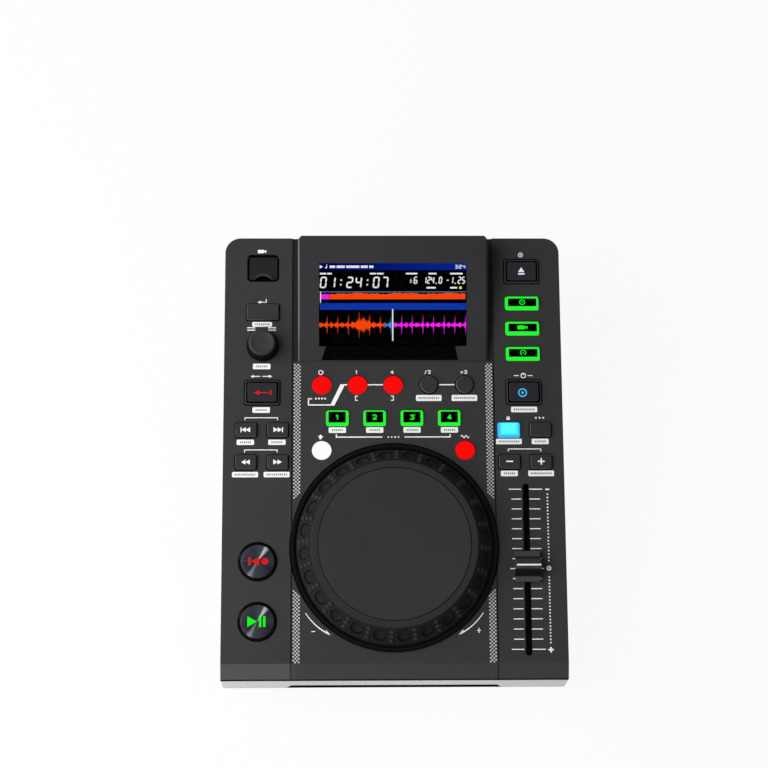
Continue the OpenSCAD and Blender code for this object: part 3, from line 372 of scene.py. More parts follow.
# %% Finishes for the CAD parts
lit_cyan = lit("translucent cap, lit cyan", "#58feff", "#129ef4", room=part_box("key_lock_key"))
FINISHES = [
    (cover_abs, "top_cover"),
    (case_abs, "lower_case"),
    (fascia_paint, "front_fascia"),
    (powder_coat, "rear_panel"),
    (hood_abs, "screen_hood"),
    (switch_abs, "display_panel key_switches jog_encoder_disc"),
    (zinc_sheet, "disc_drive_base disc_drive_lid"),
    (slot_felt, "slot_felt"),
    (solder_mask, "main_board control_board"),
    (bezel_abs, "jog_bezel cue_key play_key"),
    (turned_steel, "jog_bearing jog_shaft browse_shaft fader_carriage"),
    (ring_abs, "jog_ring"),
    (plate_abs, "jog_top_plate"),
    (black_steel, "fader_body case_screws"),
    (nickel, "stick_socket output_sockets"),
    (flap_abs, "stick_flap"),
    (inlet_abs, "power_entry power_rocker"),
    (foot_rubber, "rubber_feet"),
    (key_abs, "back_key track_back_key track_next_key search_back_key search_next_key tap_key"),
    (key_abs, "bend_minus_key bend_plus_key loop_half_key loop_double_key"),
    (frame_abs, "reverse_key eject_key jog_mode_key"),
    (lit_green, "source_disc_key source_stick_key source_link_key"),
    (lit_green, "hot_cue_1_key hot_cue_2_key hot_cue_3_key hot_cue_4_key"),
    (lit_red, "loop_auto_key loop_in_key loop_out_key slip_key"),
    (lit_white, "shift_key"),
    (lit_cyan, "key_lock_key"),
]
dressed = {node: finish for finish, nodes in FINISHES for node in nodes.split()}
for node, finish in dressed.items():
    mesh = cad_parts[node].data
    mesh.materials.clear()
    mesh.materials.append(finish)
print(len(dressed), "of", len(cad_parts), "CAD parts have their finish")

# %% [markdown]
# ## Places on the sloped panel and on the hood
# The panel slopes by 7.5 degrees and the hood's face by 12 more. Two functions turn places measured
# on these faces, in millimetres, into the frame: across, up the slope, and out of the face.

# %% Axes of the panel and of the hood
SLOPE, TILT = math.radians(7.5), math.radians(12)
BEVEL_Y, BEVEL_Z = -133.25, 44.0
HOOD_V, HOOD_STEP = 195.26, 1.0


def panel(x, v, n):
    """Panel axes to metres: v runs up the slope from the bevel, n stands out of the panel."""
    x, v, n = np.broadcast_arrays(x, v, n)
    y = BEVEL_Y + v * math.cos(SLOPE) - n * math.sin(SLOPE)
    z = BEVEL_Z + v * math.sin(SLOPE) + n * math.cos(SLOPE)
    return np.stack([x, y, z], -1) * MM


def hood(x, u, n):
    """Hood axes to metres: u runs up the hood from its front edge, n stands out of its face."""
    v = HOOD_V + np.multiply(u, math.cos(TILT)) - np.multiply(n, math.sin(TILT))
    return panel(x, v, HOOD_STEP + np.multiply(u, math.sin(TILT)) + np.multiply(n, math.cos(TILT)))


# %% [markdown]
# ## Painted light and shade on the mouldings
# Some mouldings change tone with place, and most of it is painted light and shade. The front bevel of
# the cover is painted lighter as a sheen, most of all its left wing; the lip over the flap's notch,
# the left edge of the hood, a thin line on the gloss black ring and the edges of the grey keys get
# painted highlights. Grooves, gaps, the walls of the openings, the rims of the jog wheel's hollows,
# the front hollow and a crease of the fader cap and the seam above the fascia get painted shade. The
# land round the jog wheel's plate is lighter, and the side of the knob is black. Each is a second
# colour, mixed in between two values of a measure: an axis of the frame (X, Y, Z), an axis of the
# panel (along it, out of it) or the distance round a point of it.


# %% Painted light and shade on the mouldings
JOG_V, FADER_V, NOTCH_V, SIDE_X = 73.9, 59.5, 246.2, 85.0
CAP_V = FADER_V + 1.3
FRONT_Y, FASCIA_TOP, FAR = -142.75, 38.5, 400.0
HOOD_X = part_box("screen_hood")[0][0] / MM
# Jog hollows: how many, radius and height of their middles, half width and half length, first angle
HOLLOWS, HOLLOW_REACH, HOLLOW_N, HALF_WIDE, HALF_LONG = 24, 57.7, 10.0, 4.3, 5.9
HOLLOW_TURN = math.radians(-90 + 5.4)
# The jog ring's slope goes 9 mm in for 14 mm up: unit vectors up the slope and out of it
SLOPE_UP = np.array([-9.0, 14.0]) / math.hypot(9, 14)
SLOPE_OUT = np.array([14.0, 9.0]) / math.hypot(9, 14)
# Middle of a hollow as (angle, radius, height), and the measures of its oval along two directions
HOLLOW_AT = (HOLLOW_TURN, HOLLOW_REACH * MM, HOLLOW_N * MM)
HOLLOW_ACROSS = (HOLLOW_REACH / HALF_WIDE, 0.0, 0.0)
HOLLOW_ALONG = (0.0, *(SLOPE_UP / (HALF_LONG * MM)).tolist())
RIM_AT, RIM_HALF, RIM_SOFT = 0.92, 0.04, 0.1


def panel_place(tree, at):
    """Object coordinates along the panel's axes, from its point at."""
    place = tree.nodes["Texture Coordinate"].outputs["Object"]
    turn = [("Vector", place), ("Location", panel(*at, 0.0)), ("Rotation", (SLOPE, 0.0, 0.0))]
    return add(tree, "Mapping", turn, vector_type="TEXTURE").outputs[0]


def off_axis(tree, place):
    """Distance of a place from its Z axis."""
    flat = add(tree, "VectorMath", [(0, place), (1, (1.0, 1.0, 0.0))], operation="MULTIPLY")
    return add(tree, "VectorMath", [(0, flat.outputs[0])], operation="LENGTH").outputs["Value"]


def band(tree, value, middle, half, soft):
    """1 where a value is within half of the middle, fading to 0 over soft."""
    off = add(tree, "Math", [(0, value), (1, middle)], operation="SUBTRACT")
    far = add(tree, "Math", [(0, off.outputs[0])], operation="ABSOLUTE")
    ends = [("From Min", half), ("From Max", half + soft), ("To Min", 1.0), ("To Max", 0.0)]
    return add(tree, "MapRange", [("Value", far.outputs[0]), *ends]).outputs[0]


def within(tree, measure, low_mm, high_mm, soft_mm=0.2, at=(0.0, 0.0)):
    """1 where a measure from the panel point at lies between two values, with soft ends."""
    if measure == "round":
        value = off_axis(tree, panel_place(tree, at))
    elif measure in ("along", "out"):
        axes = add(tree, "SeparateXYZ", [("Vector", panel_place(tree, at))]).outputs
        value = axes["Y" if measure == "along" else "Z"]
    else:
        place = tree.nodes["Texture Coordinate"].outputs["Object"]
        value = add(tree, "SeparateXYZ", [("Vector", place)]).outputs[measure]
    middle, half = (low_mm + high_mm) / 2, (high_mm - low_mm) / 2
    return band(tree, value, middle * MM, half * MM, soft_mm * MM)


def mixed(material, code, share, dull):
    """Mixes a second tone into a moulding as far as share says, and roughens it there if dull."""
    tree = material.node_tree
    inputs = tree.nodes["Principled BSDF"].inputs
    base, rough = inputs["Base Color"], inputs["Roughness"]
    first = base.links[0].from_socket
    mix = add(tree, "MixRGB", [("Fac", share), ("Color1", first), ("Color2", linear(code))])
    tree.links.new(mix.outputs[0], base)
    if dull:
        ends = [("Value", share), ("To Min", rough.links[0].from_socket), ("To Max", 1.0)]
        tree.links.new(add(tree, "MapRange", ends).outputs[0], rough)


def painted_light_or_tone(material, code, *places, dull=False):
    """Second tone of a moulding, most often painted light or shade, where all the places, each the settings
    of within, agree.
    """
    tree, share = material.node_tree, 1.0
    for place in places:
        both = add(tree, "Math", [(0, share), (1, within(tree, *place))], operation="MULTIPLY")
        share = both.outputs[0]
    mixed(material, code, share, dull)


def hollow_rim_shade(tree):
    """1 on the rims of the jog wheel's hollows, where they get painted shade: ovals on its slope, evenly
    round the wheel.
    """
    place = panel_place(tree, (0.0, JOG_V))
    axes = add(tree, "SeparateXYZ", [("Vector", place)]).outputs
    angle = add(tree, "Math", [(0, axes["Y"]), (1, axes["X"])], operation="ARCTAN2")
    ends = [(1, HOLLOW_TURN + math.pi / HOLLOWS), (2, HOLLOW_TURN - math.pi / HOLLOWS)]
    near = add(tree, "Math", [(0, angle.outputs[0]), *ends], operation="WRAP")
    polar = [("X", near.outputs[0]), ("Y", off_axis(tree, place)), ("Z", axes["Z"])]
    spot = add(tree, "CombineXYZ", polar).outputs[0]
    off = add(tree, "VectorMath", [(0, spot), (1, HOLLOW_AT)], operation="SUBTRACT").outputs[0]
    sides = []
    for axis, direction in (("X", HOLLOW_ACROSS), ("Y", HOLLOW_ALONG)):
        part = add(tree, "VectorMath", [(0, off), (1, direction)], operation="DOT_PRODUCT")
        sides.append((axis, part.outputs["Value"]))
    oval = add(tree, "CombineXYZ", sides).outputs[0]
    return band(tree, off_axis(tree, oval), RIM_AT, RIM_HALF, RIM_SOFT)


bevel, lip = ("Y", -FAR, BEVEL_Y - 0.2, 0.4), ("Y", -FAR, FRONT_Y + 0.2)
inside = [("X", -106.0, 106.0), ("along", 3.0, 281.0)]
# Painted sheen: the front bevel is painted lighter, and its left wing lighter still.
painted_light_or_tone(cover_abs, "#3e3e3e", bevel)
painted_light_or_tone(cover_abs, "#505050", bevel, ("X", -FAR, -68.0, 6.0))
# Painted shade: the cover's lower lip is black, as the seam's shadow above the fascia.
painted_light_or_tone(cover_abs, "#060606", lip, dull=True)
# Painted shade: darker in the shallow grooves and on the upper walls of the openings.
painted_light_or_tone(cover_abs, "#262626", ("out", -1.3, -0.4), *inside)
# Painted shade: the deep walls of the openings are black.
painted_light_or_tone(cover_abs, "#060606", ("out", -8.0, -1.5), *inside, dull=True)
# Painted shade: the fascia's upper edge is black, as the seam's shadow under the cover.
painted_light_or_tone(fascia_paint, "#060606", ("Z", FASCIA_TOP - 2.2, FAR), dull=True)
# Painted highlight: a light line along the hood's left edge.
painted_light_or_tone(hood_abs, "#5c5c5c", ("X", HOOD_X, HOOD_X + 0.8))
# Painted highlight: a thin lighter line on the gloss black ring.
painted_light_or_tone(bezel_abs, "#161616", ("round", 65.0, 65.4, 0.3, (0.0, JOG_V)))
# Painted shade: dark rims round the jog wheel's hollows.
mixed(ring_abs, "#080808", hollow_rim_shade(ring_abs.node_tree), dull=True)
# The land round the jog wheel's plate is lighter than the ring's slope.
painted_light_or_tone(ring_abs, "#2f2f2f", ("round", 0.0, 52.7, 0.4, (0.0, JOG_V)))
# Painted highlight: a lighter crescent on the lip over the flap's notch, as its lit top.
painted_light_or_tone(flap_abs, "#3a3a3a", ("round", 6.8, 8.2, 0.1, (-SIDE_X, NOTCH_V)), ("X", -89.0, -81.0, 2.0))
painted_light_or_tone(knob_abs, "#060606", ("out", 0.0, 10.6, 0.3), dull=True)
# Painted shade: the fader cap's front hollow is dark.
painted_light_or_tone(cap_abs, "#0c0c0c", ("along", -6.2, -2.6, 0.9, (SIDE_X, CAP_V)), dull=True)
# Painted shade: a dark crease at the foot of the cap's back flank.
painted_light_or_tone(cap_abs, "#141414", ("along", 4.7, 5.9, 0.4, (SIDE_X, CAP_V)))
# Painted highlight: the edges of the grey keys are lighter above the panel.
painted_light_or_tone(key_abs, "#585858", ("out", 0.3, 1.5))
# Painted shade: the walls of the keys below the panel are black.
for finish in (key_abs, frame_abs):
    painted_light_or_tone(finish, "#060606", ("out", -8.0, -0.1), dull=True)
print("10 mouldings have their second tones")

# %% [markdown]
# ## Flat marks as thin solids
# A print or a lit sign is a flat outline with a thickness of a few hundredths of a millimetre. An
# outline is an array of points, and all outlines of one colour become one mesh: two rings each,
# joined by a wall, with a face above and one below, so each mark is a closed solid.


# %% Thin solids from outlines
def make(name, points, faces, material, body, smooth=False):
    """Puts points and faces into a mesh object at the origin that rides on a body."""
    mesh = bpy.data.meshes.new(name)
    mesh.from_pydata(points.tolist(), [], faces)
    mesh.shade_smooth() if smooth else mesh.shade_flat()
    mesh.materials.append(material)
    piece = bpy.data.objects.new(name, mesh)
    bpy.context.scene.collection.objects.link(piece)
    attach(piece, body)
    return piece


def slabs(name, outlines, low, high, material, body="chassis", axes=panel):
    """Prisms over outlines: ring at low, ring at high, a wall of quads and two flat ends."""
    points, faces, first = [], [], 0
    for outline in outlines:
        x, v = np.asarray(outline, float).T
        if (x * np.roll(v, -1) - np.roll(x, -1) * v).sum() < 0:
            x, v = x[::-1], v[::-1]
        count = len(x)
        points += [axes(x, v, low), axes(x, v, high)]
        under = first + np.arange(count)
        over, after = under + count, np.roll(under, -1)
        faces += [over.tolist(), under[::-1].tolist()]
        faces += np.stack([under, after, after + count, over], 1).tolist()
        first += 2 * count
    return make(name, np.concatenate(points), faces, material, body)


def box(x, v, w, d):
    """A rectangle round its middle."""
    return np.array([(-1, -1), (1, -1), (1, 1), (-1, 1)]) * (w / 2, d / 2) + (x, v)


def disc(x, v, r, count=24):
    """A circle as a ring of points."""
    turn = np.linspace(0, 2 * np.pi, count, endpoint=False)
    return np.stack([x + r * np.cos(turn), v + r * np.sin(turn)], 1)


def pill(x, v, w, d, r=0.7):
    """A rectangle whose corners are quarter circles of 6 points."""
    turn = np.linspace(0, 2 * np.pi, 24, endpoint=False) + np.pi / 24
    side = np.sign(np.stack([np.cos(turn), np.sin(turn)], 1))
    round_part = r * np.stack([np.cos(turn), np.sin(turn)], 1)
    return side * (w / 2 - r, d / 2 - r) + round_part + (x, v)


def stroke(points, width):
    """A line of some width: each point moves half of it to both sides, along its corner's mitre."""
    p = np.asarray(points, float)
    step = np.diff(p, axis=0)
    step /= np.linalg.norm(step, axis=1, keepdims=True)
    side = np.stack([-step[:, 1], step[:, 0]], 1)
    corner = np.vstack([side[:1], side[:-1] + side[1:], side[-1:]])
    corner[1:-1] *= 2 / (corner[1:-1] ** 2).sum(1, keepdims=True)
    half = np.reshape(width, (-1, 1)) / 2
    return np.vstack([p + half * corner, (p - half * corner)[::-1]])


def bow(x, v, r, start_deg, end_deg, width, count=25):
    """A stroke along an arc."""
    turn = np.radians(np.linspace(start_deg, end_deg, count))
    return stroke(np.stack([x + r * np.cos(turn), v + r * np.sin(turn)], 1), width)


def ring(x, v, r, width):
    """A circle's line, as two half bows."""
    return [bow(x, v, r, 0, 180, width), bow(x, v, r, 180, 360, width)]


def plus(x, v, w, d, t):
    """A plus sign, w wide, d tall and t thick: a bar and an arm on either side of it."""
    arms = [box(x, v + side * (d + t) / 4, t, (d - t) / 2) for side in (1, -1)]
    return [box(x, v, w, t), *arms]


def wedge(x, v, w, d, way=1):
    """A triangle that points along x, to the right for way 1 and to the left for -1."""
    return np.array([(-way * w / 2, -d / 2), (way * w / 2, 0), (-way * w / 2, d / 2)]) + (x, v)


# %% [markdown]
# ## Numbers
# Numbers on the panel are plain strokes in a box of 1 by 1. Those on the display are made of seven
# bars with pointed ends, as a segment display has them: each digit names the bars that it uses,
# and a slant leans them.

# %% Stroke numbers
DIGITS = {
    "1": [[(-0.3, 0.26), (0.1, 0.5)], [(0.06, 0.5), (0.06, -0.5)]],
    "2": [
        [(-0.44, 0.24), (-0.34, 0.42), (-0.1, 0.5), (0.18, 0.48), (0.38, 0.32), (0.36, 0.1), (-0.4, -0.44)],
        [(-0.46, -0.42), (0.46, -0.42)],
    ],
    "3": [
        [(-0.42, 0.42), (0.4, 0.42), (0.0, 0.08)],
        [(-0.12, 0.08), (0.22, 0.06), (0.42, -0.12), (0.4, -0.34)]
        + [(0.16, -0.47), (-0.2, -0.46), (-0.44, -0.3)],
    ],
    "4": [[(0.18, 0.5), (-0.42, -0.2)], [(-0.46, -0.2), (0.48, -0.2)], [(0.18, 0.5), (0.18, -0.5)]],
}


def digit(sign, x, v, h, w, t):
    """Strokes of one number round its middle: h tall, w wide and t thick."""
    return [stroke(np.array(line) * (w, h - t) + (x, v), t) for line in DIGITS[sign]]


# %% Seven-bar numbers
BARS = {"0": "abcdef", "1": "bc", "2": "abged", "3": "abgcd", "4": "fgbc", "5": "afgcd"}
BARS.update({"6": "afgedc", "7": "abc", "8": "abcdefg", "9": "abcdfg", "-": "g"})


def bar(ax, ay, bx, by, t):
    """One bar between two corners: a hexagon whose ends are pointed."""
    along = np.array([bx - ax, by - ay], float)
    along /= np.linalg.norm(along)
    side = np.array([-along[1], along[0]]) * t / 2
    a, b, tip = np.array([ax, ay]), np.array([bx, by]), along * t / 2
    return np.array([a, a + tip - side, b - tip - side, b, b - tip + side, a + tip + side])


def number(text, x, v, h, w, t, pitch, slant=0.0):
    """Outlines of a number centred on (x, v): h tall, w wide, t thick, leaning by slant."""
    shapes = []
    places = x + (np.arange(len(text)) - (len(text) - 1) / 2) * pitch
    a, b = w / 2 - t / 2, h / 2 - t / 2
    ends = {"a": (-a, b, a, b), "b": (a, b, a, 0), "c": (a, 0, a, -b), "d": (-a, -b, a, -b)}
    ends.update({"e": (-a, 0, -a, -b), "f": (-a, b, -a, 0), "g": (-a, 0, a, 0)})
    for place, sign in zip(places, text):
        marks = [bar(*ends[name], t) for name in BARS.get(sign, "")]
        marks += [box(0, y, t, t) for y in (-h / 5, h / 5)] if sign == ":" else []
        marks += [box(0, -b, t, t)] if sign == "." else []
        shapes += [np.stack([place + m[:, 0] + slant * m[:, 1], v + m[:, 1]], 1) for m in marks]
    return shapes


# %% [markdown]
# ## Printed pills
# Under most keys is a small white field for the key's second use. The real ones carry words; here
# they carry a row of plain grey bars.

# %% Printed pills
INK_LOW, INK_HIGH, OVERPRINT = -0.02, 0.05, 0.08
PILLS = [
    (-85.4, 220.0, 12.9, 3.2),
    (-85.5, 191.8, 11.4, 3.7),
    (-85.6, 162.9, 11.3, 3.8),
    (-95.6, 141.7, 11.2, 3.5),
    (-75.3, 141.7, 11.2, 3.5),
    (-95.6, 120.6, 16.7, 3.5),
    (-75.3, 120.6, 16.7, 3.5),
    (23.1, 170.7, 16.6, 4.0),
    (46.3, 170.7, 16.6, 4.0),
    (-36.3, 149.6, 11.2, 3.7),
    (-12.1, 149.6, 11.2, 3.7),
    (12.1, 149.6, 11.2, 3.7),
    (36.3, 149.6, 11.2, 3.7),
    (85.0, 163.0, 17.0, 3.7),
    (74.7, 141.9, 16.7, 3.6),
    (95.0, 141.9, 11.0, 3.6),
    (74.6, 121.0, 11.0, 3.7),
    (95.1, 121.0, 16.6, 3.7),
]
slabs("panel_pills", [pill(*spot) for spot in PILLS], INK_LOW, INK_HIGH, white_ink)
PITCH, MARGIN = 1.25, 1.7
bars = []
for x, v, w, d in PILLS:
    count = round((w - 2 * MARGIN) / PITCH)
    bars += [box(x + PITCH * (i - (count - 1) / 2), v, 0.8, 1.25) for i in range(count)]
slabs("pill_marks", bars, INK_HIGH - 0.01, OVERPRINT, grey_ink)
print(len(PILLS), "pills with", len(bars), "grey bars")

# %% [markdown]
# ## Printed lines and signs
# White lines tie the loop keys and the pads together. Where the real panel has words, this one has
# small signs that say the same without language: a stick, a return arrow, a dial, a lock.

# %% Printed lines
LINE = 0.75
lines = [
    stroke([(-55, 170.6), (-55, 166.2), (-39.9, 166.2)], LINE),
    [(-39.9, 165.8), (-38.2, 165.8), (-31.6, 179.1), (-30, 179.1)]
    + [(-30, 179.9), (-34.2, 179.9), (-40.6, 166.6)],
    stroke([(-16.6, 179.5), (-6.7, 179.5)], LINE),
    stroke([(29.9, 179.5), (39.8, 179.5)], LINE),
    stroke([(-36.9, 146.9), (-36.9, 145), (-7.2, 145)], LINE),
    stroke([(7.2, 145), (36.7, 145), (36.7, 146.9)], LINE),
    stroke([(-55, 170.3), (-52.6, 170.3)], LINE * 0.8),
]
slabs("panel_lines", lines, INK_LOW, INK_HIGH, white_ink)

# %% Printed signs
SIGN = 0.55


def arrow(x, v, length, way=1, head=2.2):
    """A straight arrow along x with a triangular head."""
    tip = x + way * length / 2
    shaft = stroke([(x - way * length / 2, v), (tip - way * head * 0.8, v)], SIGN)
    return [shaft, wedge(tip - way * head / 2, v, head, head * 0.9, way)]


def pair_bracket(x, v, half):
    """A line that spans a pair of keys, with a short drop at both ends."""
    left, right, foot, top = x - half, x + half, v - 1.1, v + 0.5
    return [stroke([(left, foot), (left, top), (right, top), (right, foot)], SIGN)]


def stick_sign(x, v, k=1.0):
    """A memory stick: body and plug."""
    return [pill(x - 0.9 * k, v, 4.2 * k, 2.3 * k, 0.5 * k), box(x + 2.1 * k, v, 1.4 * k, 1.4 * k)]


def lock_sign(x, v):
    """A padlock: body and bow."""
    return [box(x, v - 0.5, 2.2, 1.5), bow(x, v + 0.25, 0.75, 0, 180, 0.4, 13)]


signs = stick_sign(-85.7, 269.4)
signs += [stroke([(-82.9, 237.0), (-82.9, 234.9), (-86.6, 234.9)], SIGN), wedge(-87.5, 234.9, 2.2, 2.0, -1)]
signs += [box(x, 216.9 + i, 5.2, 0.7) for x in (-92.5, -78.9) for i in (-0.8, 0.8)]
signs += arrow(-89.6, 185.2, 6.4, -1) + arrow(-81.8, 185.2, 6.4)
for x, v in ((-85.5, 157.3), (-85.6, 136.2), (84.7, 136.5)):
    signs += pair_bracket(x, v, 10.5)
signs += [bow(-47, 187.7, 1.35, 60, 360, SIGN), wedge(-45.5, 188.2, 1.5, 1.3, 1)]
signs += [box(-47.2 + i, 170.4, 1.1, 1.1) for i in (-3.0, -1.0, 1.0, 3.0)]
signs += [stroke([(-22.9, 172.0), (-24.5, 172.0), (-24.5, 169.2), (-22.9, 169.2)], SIGN)]
signs += [stroke([(-1.5, 172.0), (0.1, 172.0), (0.1, 169.2), (-1.5, 169.2)], SIGN)]
signs += [np.array([(-48.9, 145.0), (-47.1, 146.8), (-45.3, 145.0)]), box(-47.1, 144.3, 1.5, 1.3)]
wave = np.linspace(-2.6, 2.6, 25)
signs += [stroke(np.stack([46.3 + wave, 145.2 + 0.8 * np.sin(wave * 2.4)], 1), SIGN)]
signs += ring(84.7, 267.0, 1.35, SIGN) + [disc(84.7, 267.0, 0.5)]
signs += ring(84.9, 185.5, 1.5, SIGN) + [box(84.9, 186.3, 0.5, 0.9)]
signs += [box(x, 185.5, 3.2, 0.5) for x in (80.4, 89.4)]
signs += lock_sign(74.5, 157.4) + [disc(94.9 + i, 157.5, 0.6) for i in (-2.4, 0.0, 2.4)]
signs += [disc(i, 145.0, 0.55) for i in (-3.3, -1.1, 1.1, 3.3)]
signs += digit("1", -23.8, 187.9, 2.7, 1.8, 0.55) + digit("4", -0.6, 187.9, 2.7, 2.0, 0.5)
signs += [stroke([(20.7, 186.7), (21.9, 189.1)], 0.45)] + digit("2", 23.6, 187.9, 2.7, 1.9, 0.5)
signs += [stroke([(44.2, 187.1), (45.6, 188.5)], 0.45), stroke([(44.2, 188.5), (45.6, 187.1)], 0.45)]
signs += digit("2", 47.4, 187.9, 2.7, 1.9, 0.5)
signs += [box(-51.5, 20.2, 2.4, 0.5), *plus(53.4, 20.5, 2.4, 3.3, 0.5)]
slabs("panel_signs", signs, INK_LOW, INK_HIGH, white_ink)
print(len(lines), "lines and", len(signs), "sign outlines")

# %% [markdown]
# ## Fader scale, jog arrows and halftone strips
# The scale has 17 ticks beside the slot and a dotted line. Arrows follow the jog wheel's rim. A
# strip of staggered dots runs along each side of the centre section, and stops with a cut at 45
# degrees before the jog wheel. The real dots are about 0.8 mm apart; they are drawn coarser here,
# so that they still show as dots in the render.

# %% Fader scale
TICK_PITCH = 6.39
ticks = []
for i in range(-8, 9):
    out = 1.5 if i in (-8, 0, 8) else 0.0
    v = FADER_V + 0.1 + i * TICK_PITCH
    ticks += [box(78.75 - out / 2, v, 6.3 + out, 0.6), box(90.6 + out / 2, v, 7.0 + out, 0.6)]
for low, high in ((64.6, 107.4), (12.6, 54.2)):
    ticks += [box(98.8, v, 0.9, 0.9) for v in np.linspace(low, high, 21)]
ticks += [box(98.85, 110.6, 2.7, 0.9), *plus(98.85, 8.2, 3.4, 3.4, 1.0)]
ticks += ring(98.7, 59.8, 1.05, 1.05)
slabs("fader_scale", ticks, INK_LOW, INK_HIGH, white_ink)

# %% Jog arrows
BARB = 1.5
arrows = []
for side in (-1, 1):
    s = np.linspace(0, 1, 16)
    path = np.stack([side * (56.4 - 14.9 * s), 31.7 - 13.3 * s], 1)
    path += np.outer(5.2 * s * (1 - s), (side * 0.67, -0.75))
    arrows.append(stroke(path, np.linspace(0.45, 0.85, 16)))
    way = path[-1] - path[-2]
    way /= np.linalg.norm(way)
    off = np.array([-way[1], way[0]]) * -side
    tip = path[-1] + 1.2 * way
    arrows.append(np.array([tip, tip - 4.2 * way + BARB * off, tip - 3.4 * way - 0.3 * off]))
slabs("jog_arrows", arrows, INK_LOW, INK_HIGH, white_ink)

# %% Halftone strips
DOT, STEP = 1.0, 1.15
columns, rows = np.meshgrid(np.arange(4), np.arange(168))
x, v = 60.6 + columns * STEP, 0.9 + rows * STEP
free = ((columns + rows) % 2 == 0) & (np.abs(v - 75.4) > 28.1 + 0.97 * (64.6 - x))
dots = [box(side * a, b, DOT, DOT) for side in (-1, 1) for a, b in zip(x[free], v[free])]
slabs("dot_strips", dots, INK_LOW, INK_HIGH, strip_ink)
print(len(ticks), "scale marks,", len(dots), "strip dots")

# %% [markdown]
# ## Signs on the keys
# Each key's sign rides on that key's own body, so it goes down with the key. A lit key with a
# window gets a black plate with the sign glowing in it. Heights are those of the keys' tops.

# %% Signs on the keys
KEY_TOP, FRAME_TOP, STEP_TOP, PLATE = 1.8, 2.2, 0.9, 0.05
SKIP_W, SKIP_D = 2.8, 3.3


def key_sign(key, shapes, material, top=KEY_TOP, part="sign"):
    """Thin signs on a key's top, from just below it."""
    return slabs(f"{key}_{part}", shapes, top - 0.02, top + PLATE, material, f"{key}_key")


def skip(x, v, way, stop):
    """Two wedges in a row, with a bar at the far end for a skip key."""
    shapes = [wedge(x + way * d, v, SKIP_W, SKIP_D, way) for d in (-1.35, 1.35)]
    return shapes + ([box(x + way * 3.05, v, 0.7, SKIP_D)] if stop else [])


WHITE_SIGNS = {
    "track_back": skip(-95.3, 149.6, -1, True),
    "track_next": skip(-74.7, 149.6, 1, True),
    "search_back": skip(-95.3, 128.5, -1, False),
    "search_next": skip(-74.7, 128.5, 1, False),
    "bend_minus": [box(74.8, 128.6, 4.4, 0.9)],
    "bend_plus": plus(95.2, 128.6, 4.4, 4.3, 0.9),
}
for key, shapes in WHITE_SIGNS.items():
    key_sign(key, shapes, white_ink)
for key, x, v in (("reverse", -85.0, 174.4), ("jog_mode", 85.0, 174.4), ("eject", 85.0, 255.58)):
    # Painted shade: the black edge plate shows as a dark line round the raised face, as the gap's shadow.
    key_sign(key, [pill(x, v, 20.9, 14.3, 1.0)], window_black, STEP_TOP, "edge")
    key_sign(key, [pill(x, v, 18.5, 11.9, 0.8)], face_abs, FRAME_TOP, "face")
FACE_TOP = FRAME_TOP + PLATE
back_arrow = arrow(-85.4, 174.0, 9.6, -1, 3.4) + [box(-79.4, 174.0, 0.8, 3.0)]
record = ring(84.0, 173.7, 2.5, 0.75) + [disc(84.0, 173.7, 0.8)]
lift = [[(82.7, 254.7), (86.9, 254.7), (84.8, 258.0)], box(84.8, 253.5, 4.2, 1.0)]
key_sign("reverse", back_arrow, sign_red, FACE_TOP)
key_sign("jog_mode", record, sign_cyan, FACE_TOP)
key_sign("eject", lift, sign_white, FACE_TOP)

# %% Windows and numbers of the green keys
SOURCE_SIGNS = {
    "source_disc": (234.18, lambda x, v: ring(x, v, 1.6, 0.6) + [disc(x, v, 0.45)]),
    "source_stick": (217.18, lambda x, v: stick_sign(x, v, 1.15)),
    "source_link": (200.18, lambda x, v: [bow(x, v, 1.7, -60, 240, 0.55), disc(x, v, 0.45, 12)]),
}
for key, (v, sign) in SOURCE_SIGNS.items():
    key_sign(key, [box(85.0, v + 0.1, 18.6, 5.2)], window_black, part="window")
    key_sign(key, sign(85.0, v + 0.2), sign_green, KEY_TOP + PLATE)
for i, x in enumerate((-36.3, -12.1, 12.1, 36.3)):
    key = f"hot_cue_{i + 1}"
    key_sign(key, [box(x - 0.1, 157.8, 11.1, 7.1)], window_black, part="window")
    key_sign(key, digit(str(i + 1), x, 157.7, 3.8, 2.8, 0.8), sign_green, KEY_TOP + PLATE)

# %% [markdown]
# ## Cue and play faces
# The two large keys have faces of spun aluminium. A lathe leaves rings, and rings spread a lamp's
# reflection into bright fans that meet in the middle. The face is a disc on a polar grid with a UV
# map whose first axis runs round the disc. The shader's anisotropy follows that axis, and a ramp
# along it paints the two fans into the colour as painted reflections, so that they show under the
# soft stage light too.


# %% Spun aluminium faces
# Painted reflections: colours of the bright fans, by place round the disc.
PAINTED_FANS = [
    (0.0, "#2e3036"),
    (0.13, "#26282e"),
    (0.165, "#60646c"),
    (0.21, "#2c2e34"),
    (0.42, "#23252a"),
    (0.5, "#34363c"),
    (0.62, "#26282e"),
    (0.66, "#a4a8b0"),
    (0.69, "#34363c"),
    (0.8, "#23252a"),
    (1.0, "#2e3036"),
]
spun, tree, shader, place = start("spun aluminium", 0.3, [("Metallic", 1.0), ("Anisotropic", 0.8)])
uv = add(tree, "UVMap", uv_map="round").outputs[0]
fan = add(tree, "SeparateXYZ", [("Vector", uv)]).outputs["X"]
